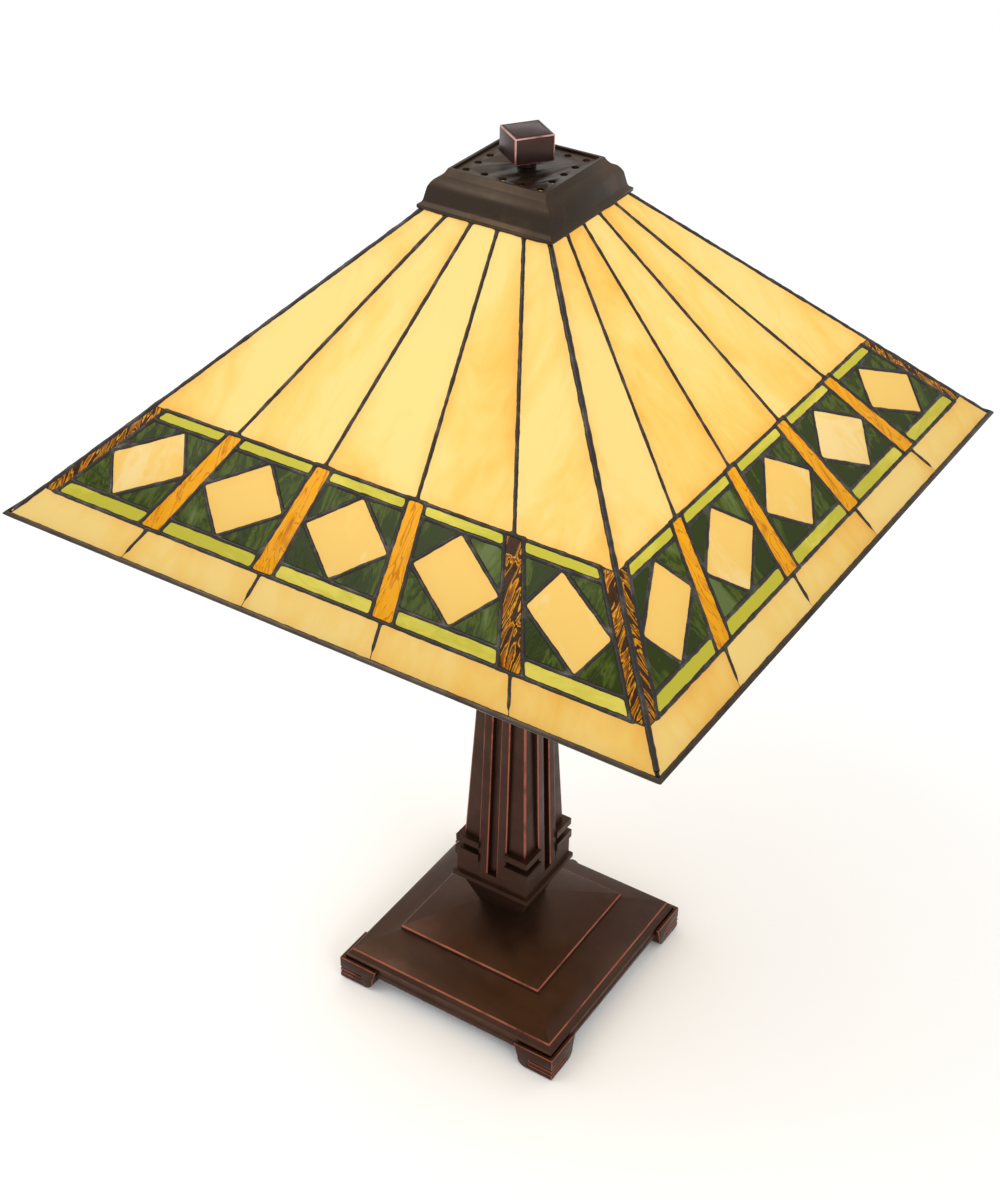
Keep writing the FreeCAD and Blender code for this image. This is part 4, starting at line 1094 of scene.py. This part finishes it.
class LAMP_OT_base(bpy.types.Operator):
    """Cast the stepped base, and fit its ballast, cover, screws and cord bush"""
    bl_idname = "lamp.base"
    bl_label = "Base"

    def execute(self, context):
        width = context.scene.lamp_metal.edge_width
        base = cad_copy("base_casting", "base_cast")
        coat(base, "cast_bronze", "copper_rubbed")
        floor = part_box("base_cover")[0].z + 0.5 * MM
        ease(base, 0.75 * width, 3, least=40, slot=1,
             where=lambda e: e.calc_length() > 40 * MM and middle(e).z > floor + 12 * MM)
        ease(base, 0.5 * width, 3, least=40, slot=1, where=lambda e: middle(e).z > floor)
        smooth(base, 32)
        finish(base, "stand", ["base_casting"])
        carry(["ballast_plate"], FINISHES["raw_iron"])
        carry(["base_washer", "cover_screws"], FINISHES["steel"])
        carry(["base_cover"], FINISHES["painted_steel"])
        eased_part("cord_bushing", "cord_bush", "stand", "black_plastic", 0.3 * MM)
        return {"FINISHED"}


class LAMP_OT_feet(bpy.types.Operator):
    """Cast the four bracket feet and glue felt under them"""
    bl_idname = "lamp.feet"
    bl_label = "Feet"

    def execute(self, context):
        width = context.scene.lamp_metal.edge_width
        eased_part("base_feet", "feet_cast", "stand", "cast_bronze", 0.45 * width, rub="copper_rubbed")
        carry(["felt_pads"], FINISHES["felt"])
        return {"FINISHED"}


# ------------------------------------------------------------ finishes and studio

class LAMP_OT_finishes(bpy.types.Operator):
    """Build the shader groups and mix the metals that several pieces share"""
    bl_idname = "lamp.finishes"
    bl_label = "Finishes"

    def execute(self, context):
        for build in (clouds_group, grain_group, wisps_group, glow_group, painted_sheen_group):
            build()
        hues = context.scene.lamp_metal
        # The khaki on faces that look up is a painted sheen.
        metal("cast_bronze", hues.mahogany, hues.umber, 0.36, 0.85, scale=24.0, low=0.45, high=0.9,
              painted_sheen=hues.sheen_khaki, painted_sheen_depth=0.25, depth=0.14)
        rubbed("copper_rubbed", hues.copper, hues.mahogany, 0.3, 0.5)
        metal("finial_bronze", hues.plum, hues.mahogany, 0.28, 0.75, scale=40.0, depth=0.08)
        metal("brass", hues.brass, darker(hues.brass, 0.7), 0.24, 0.95)
        metal("aged_brass", hues.old_brass, darker(hues.old_brass, 0.5), 0.3, 0.9, scale=60.0)
        metal("nickel", hues.nickel, darker(hues.nickel, 0.75), 0.2, 1.0)
        metal("steel", hues.steel, darker(hues.steel, 0.7), 0.3, 0.9)
        metal("raw_iron", hues.iron, darker(hues.iron, 0.5), 0.55, 0.7, grain=260.0, depth=0.6)
        plain("felt", hues.felt, 0.7, 0.9, 1600.0, 0.8, Sheen_Weight=0.5)
        plain("painted_steel", tint(48, 45, 42), 0.8, 0.45, 700.0, 0.1)
        plain("black_plastic", tint(34, 33, 33), 0.8, 0.4, 500.0, 0.05)
        plain("porcelain", tint(226, 220, 206), 0.9, 0.15, 200.0, 0.03, Coat_Weight=0.4)
        return {"FINISHED"}


def area_light(name, place, aim, size, power):
    light = bpy.data.lights.new(name, "AREA")
    light.shape = "DISK"
    light.size = size
    light.energy = power
    lamp = bpy.data.objects.new(name, light)
    bpy.context.scene.collection.objects.link(lamp)
    lamp.location = place
    lamp.rotation_euler = (Vector(aim) - Vector(place)).to_track_quat("-Z", "Y").to_euler()


def aim_camera(studio):
    """Camera round the aim point, with its small roll."""
    azimuth, elevation = studio.azimuth, studio.elevation
    back = Vector((math.sin(azimuth) * math.cos(elevation), -math.cos(azimuth) * math.cos(elevation),
                   math.sin(elevation)))
    right = Vector((math.cos(azimuth), math.sin(azimuth), 0))
    up = back.cross(right)
    across = right * math.cos(studio.roll) + up * math.sin(studio.roll)
    upwards = up * math.cos(studio.roll) - right * math.sin(studio.roll)
    place = right * studio.aim_side + UP * studio.aim_height + back * studio.distance
    camera = bpy.data.objects.new("camera", bpy.data.cameras.new("camera"))
    camera.data.lens = studio.lens
    camera.data.sensor_width = 36
    camera.data.clip_start = 0.05
    turned = Matrix((across, upwards, back)).transposed().to_4x4()
    camera.matrix_world = Matrix.Translation(place) @ turned
    bpy.context.scene.collection.objects.link(camera)
    bpy.context.scene.camera = camera


class LAMP_OT_studio(bpy.types.Operator):
    """Lay the pale floor, hang the soft lights and set the camera"""
    bl_idname = "lamp.studio"
    bl_label = "Studio"

    def execute(self, context):
        studio = context.scene.lamp_studio
        deselect()
        bpy.ops.mesh.primitive_plane_add(size=9)
        floor = start("floor")
        material, wires, sockets = new_finish("floor", Roughness=0.7)
        dust = place_group(wires, "Clouds", Scale=4.0, Low=0.2, High=0.8)["Mask"]
        wires.plug(sockets["Base Color"], wires.mix(
            dust, tuple(studio.floor), darker(studio.floor, 0.985)))
        floor.data.materials.append(material)
        world = bpy.data.worlds.new("studio")
        context.scene.world = world
        world.use_nodes = True
        sky = world.node_tree.nodes["Background"].inputs
        sky["Color"].default_value = studio.sky
        sky["Strength"].default_value = studio.sky_power
        area_light("key", (-0.9, -0.7, 1.9), (0, 0, 0.25), 1.2, studio.key_power)
        area_light("side", (1.6, -0.9, 1.1), (0, 0, 0.2), 0.9, studio.rim_power)
        for node in ("bulb_glass_left", "bulb_glass_right"):
            low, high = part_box(node)
            light = bpy.data.lights.new(node + "_light", "POINT")
            light.energy = studio.bulb_power
            light.color = (1.0, 0.78, 0.5)
            light.shadow_soft_size = 0.02
            lamp = bpy.data.objects.new(light.name, light)
            lamp.location = (low + high) / 2 - UP * 0.06
            bpy.context.scene.collection.objects.link(lamp)
        aim_camera(studio)
        context.scene.view_settings.view_transform = "Standard"
        return {"FINISHED"}


# ------------------------------------------------------------ panel and registration

OPERATORS = (LAMP_OT_finishes, LAMP_OT_glass, LAMP_OT_solder, LAMP_OT_hips, LAMP_OT_rim, LAMP_OT_cap,
             LAMP_OT_finial, LAMP_OT_shade_frame, LAMP_OT_cluster, LAMP_OT_bulbs, LAMP_OT_chains,
             LAMP_OT_column, LAMP_OT_base, LAMP_OT_feet, LAMP_OT_studio)
SETTINGS = {"lamp_glass": LampGlassSettings, "lamp_solder": LampSolderSettings,
            "lamp_metal": LampMetalSettings, "lamp_studio": LampStudioSettings}


class LAMP_PT_panel(bpy.types.Panel):
    """Lists the lamp's sizes and colours, and a button for each step"""
    bl_idname = "LAMP_PT_panel"
    bl_label = "Leaded Glass Lamp"
    bl_space_type = "VIEW_3D"
    bl_region_type = "UI"
    bl_category = "Lamp"

    def draw(self, context):
        for operator in OPERATORS:
            self.layout.operator(operator.bl_idname)
        for name, settings in SETTINGS.items():
            box = self.layout.box()
            box.label(text=settings.__doc__)
            for value in settings.__annotations__:
                box.prop(getattr(context.scene, name), value)


def register():
    for item in (*SETTINGS.values(), *OPERATORS, LAMP_PT_panel):
        bpy.utils.register_class(item)
    for name, settings in SETTINGS.items():
        setattr(bpy.types.Scene, name, PointerProperty(type=settings))


def unregister():
    for name in SETTINGS:
        delattr(bpy.types.Scene, name)
    for item in reversed((*SETTINGS.values(), *OPERATORS, LAMP_PT_panel)):
        bpy.utils.unregister_class(item)


def main():
    register()
    for operator in OPERATORS:
        step = operator.bl_idname.split(".")[1]
        getattr(bpy.ops.lamp, step)()


if __name__ == "__main__":
    main()
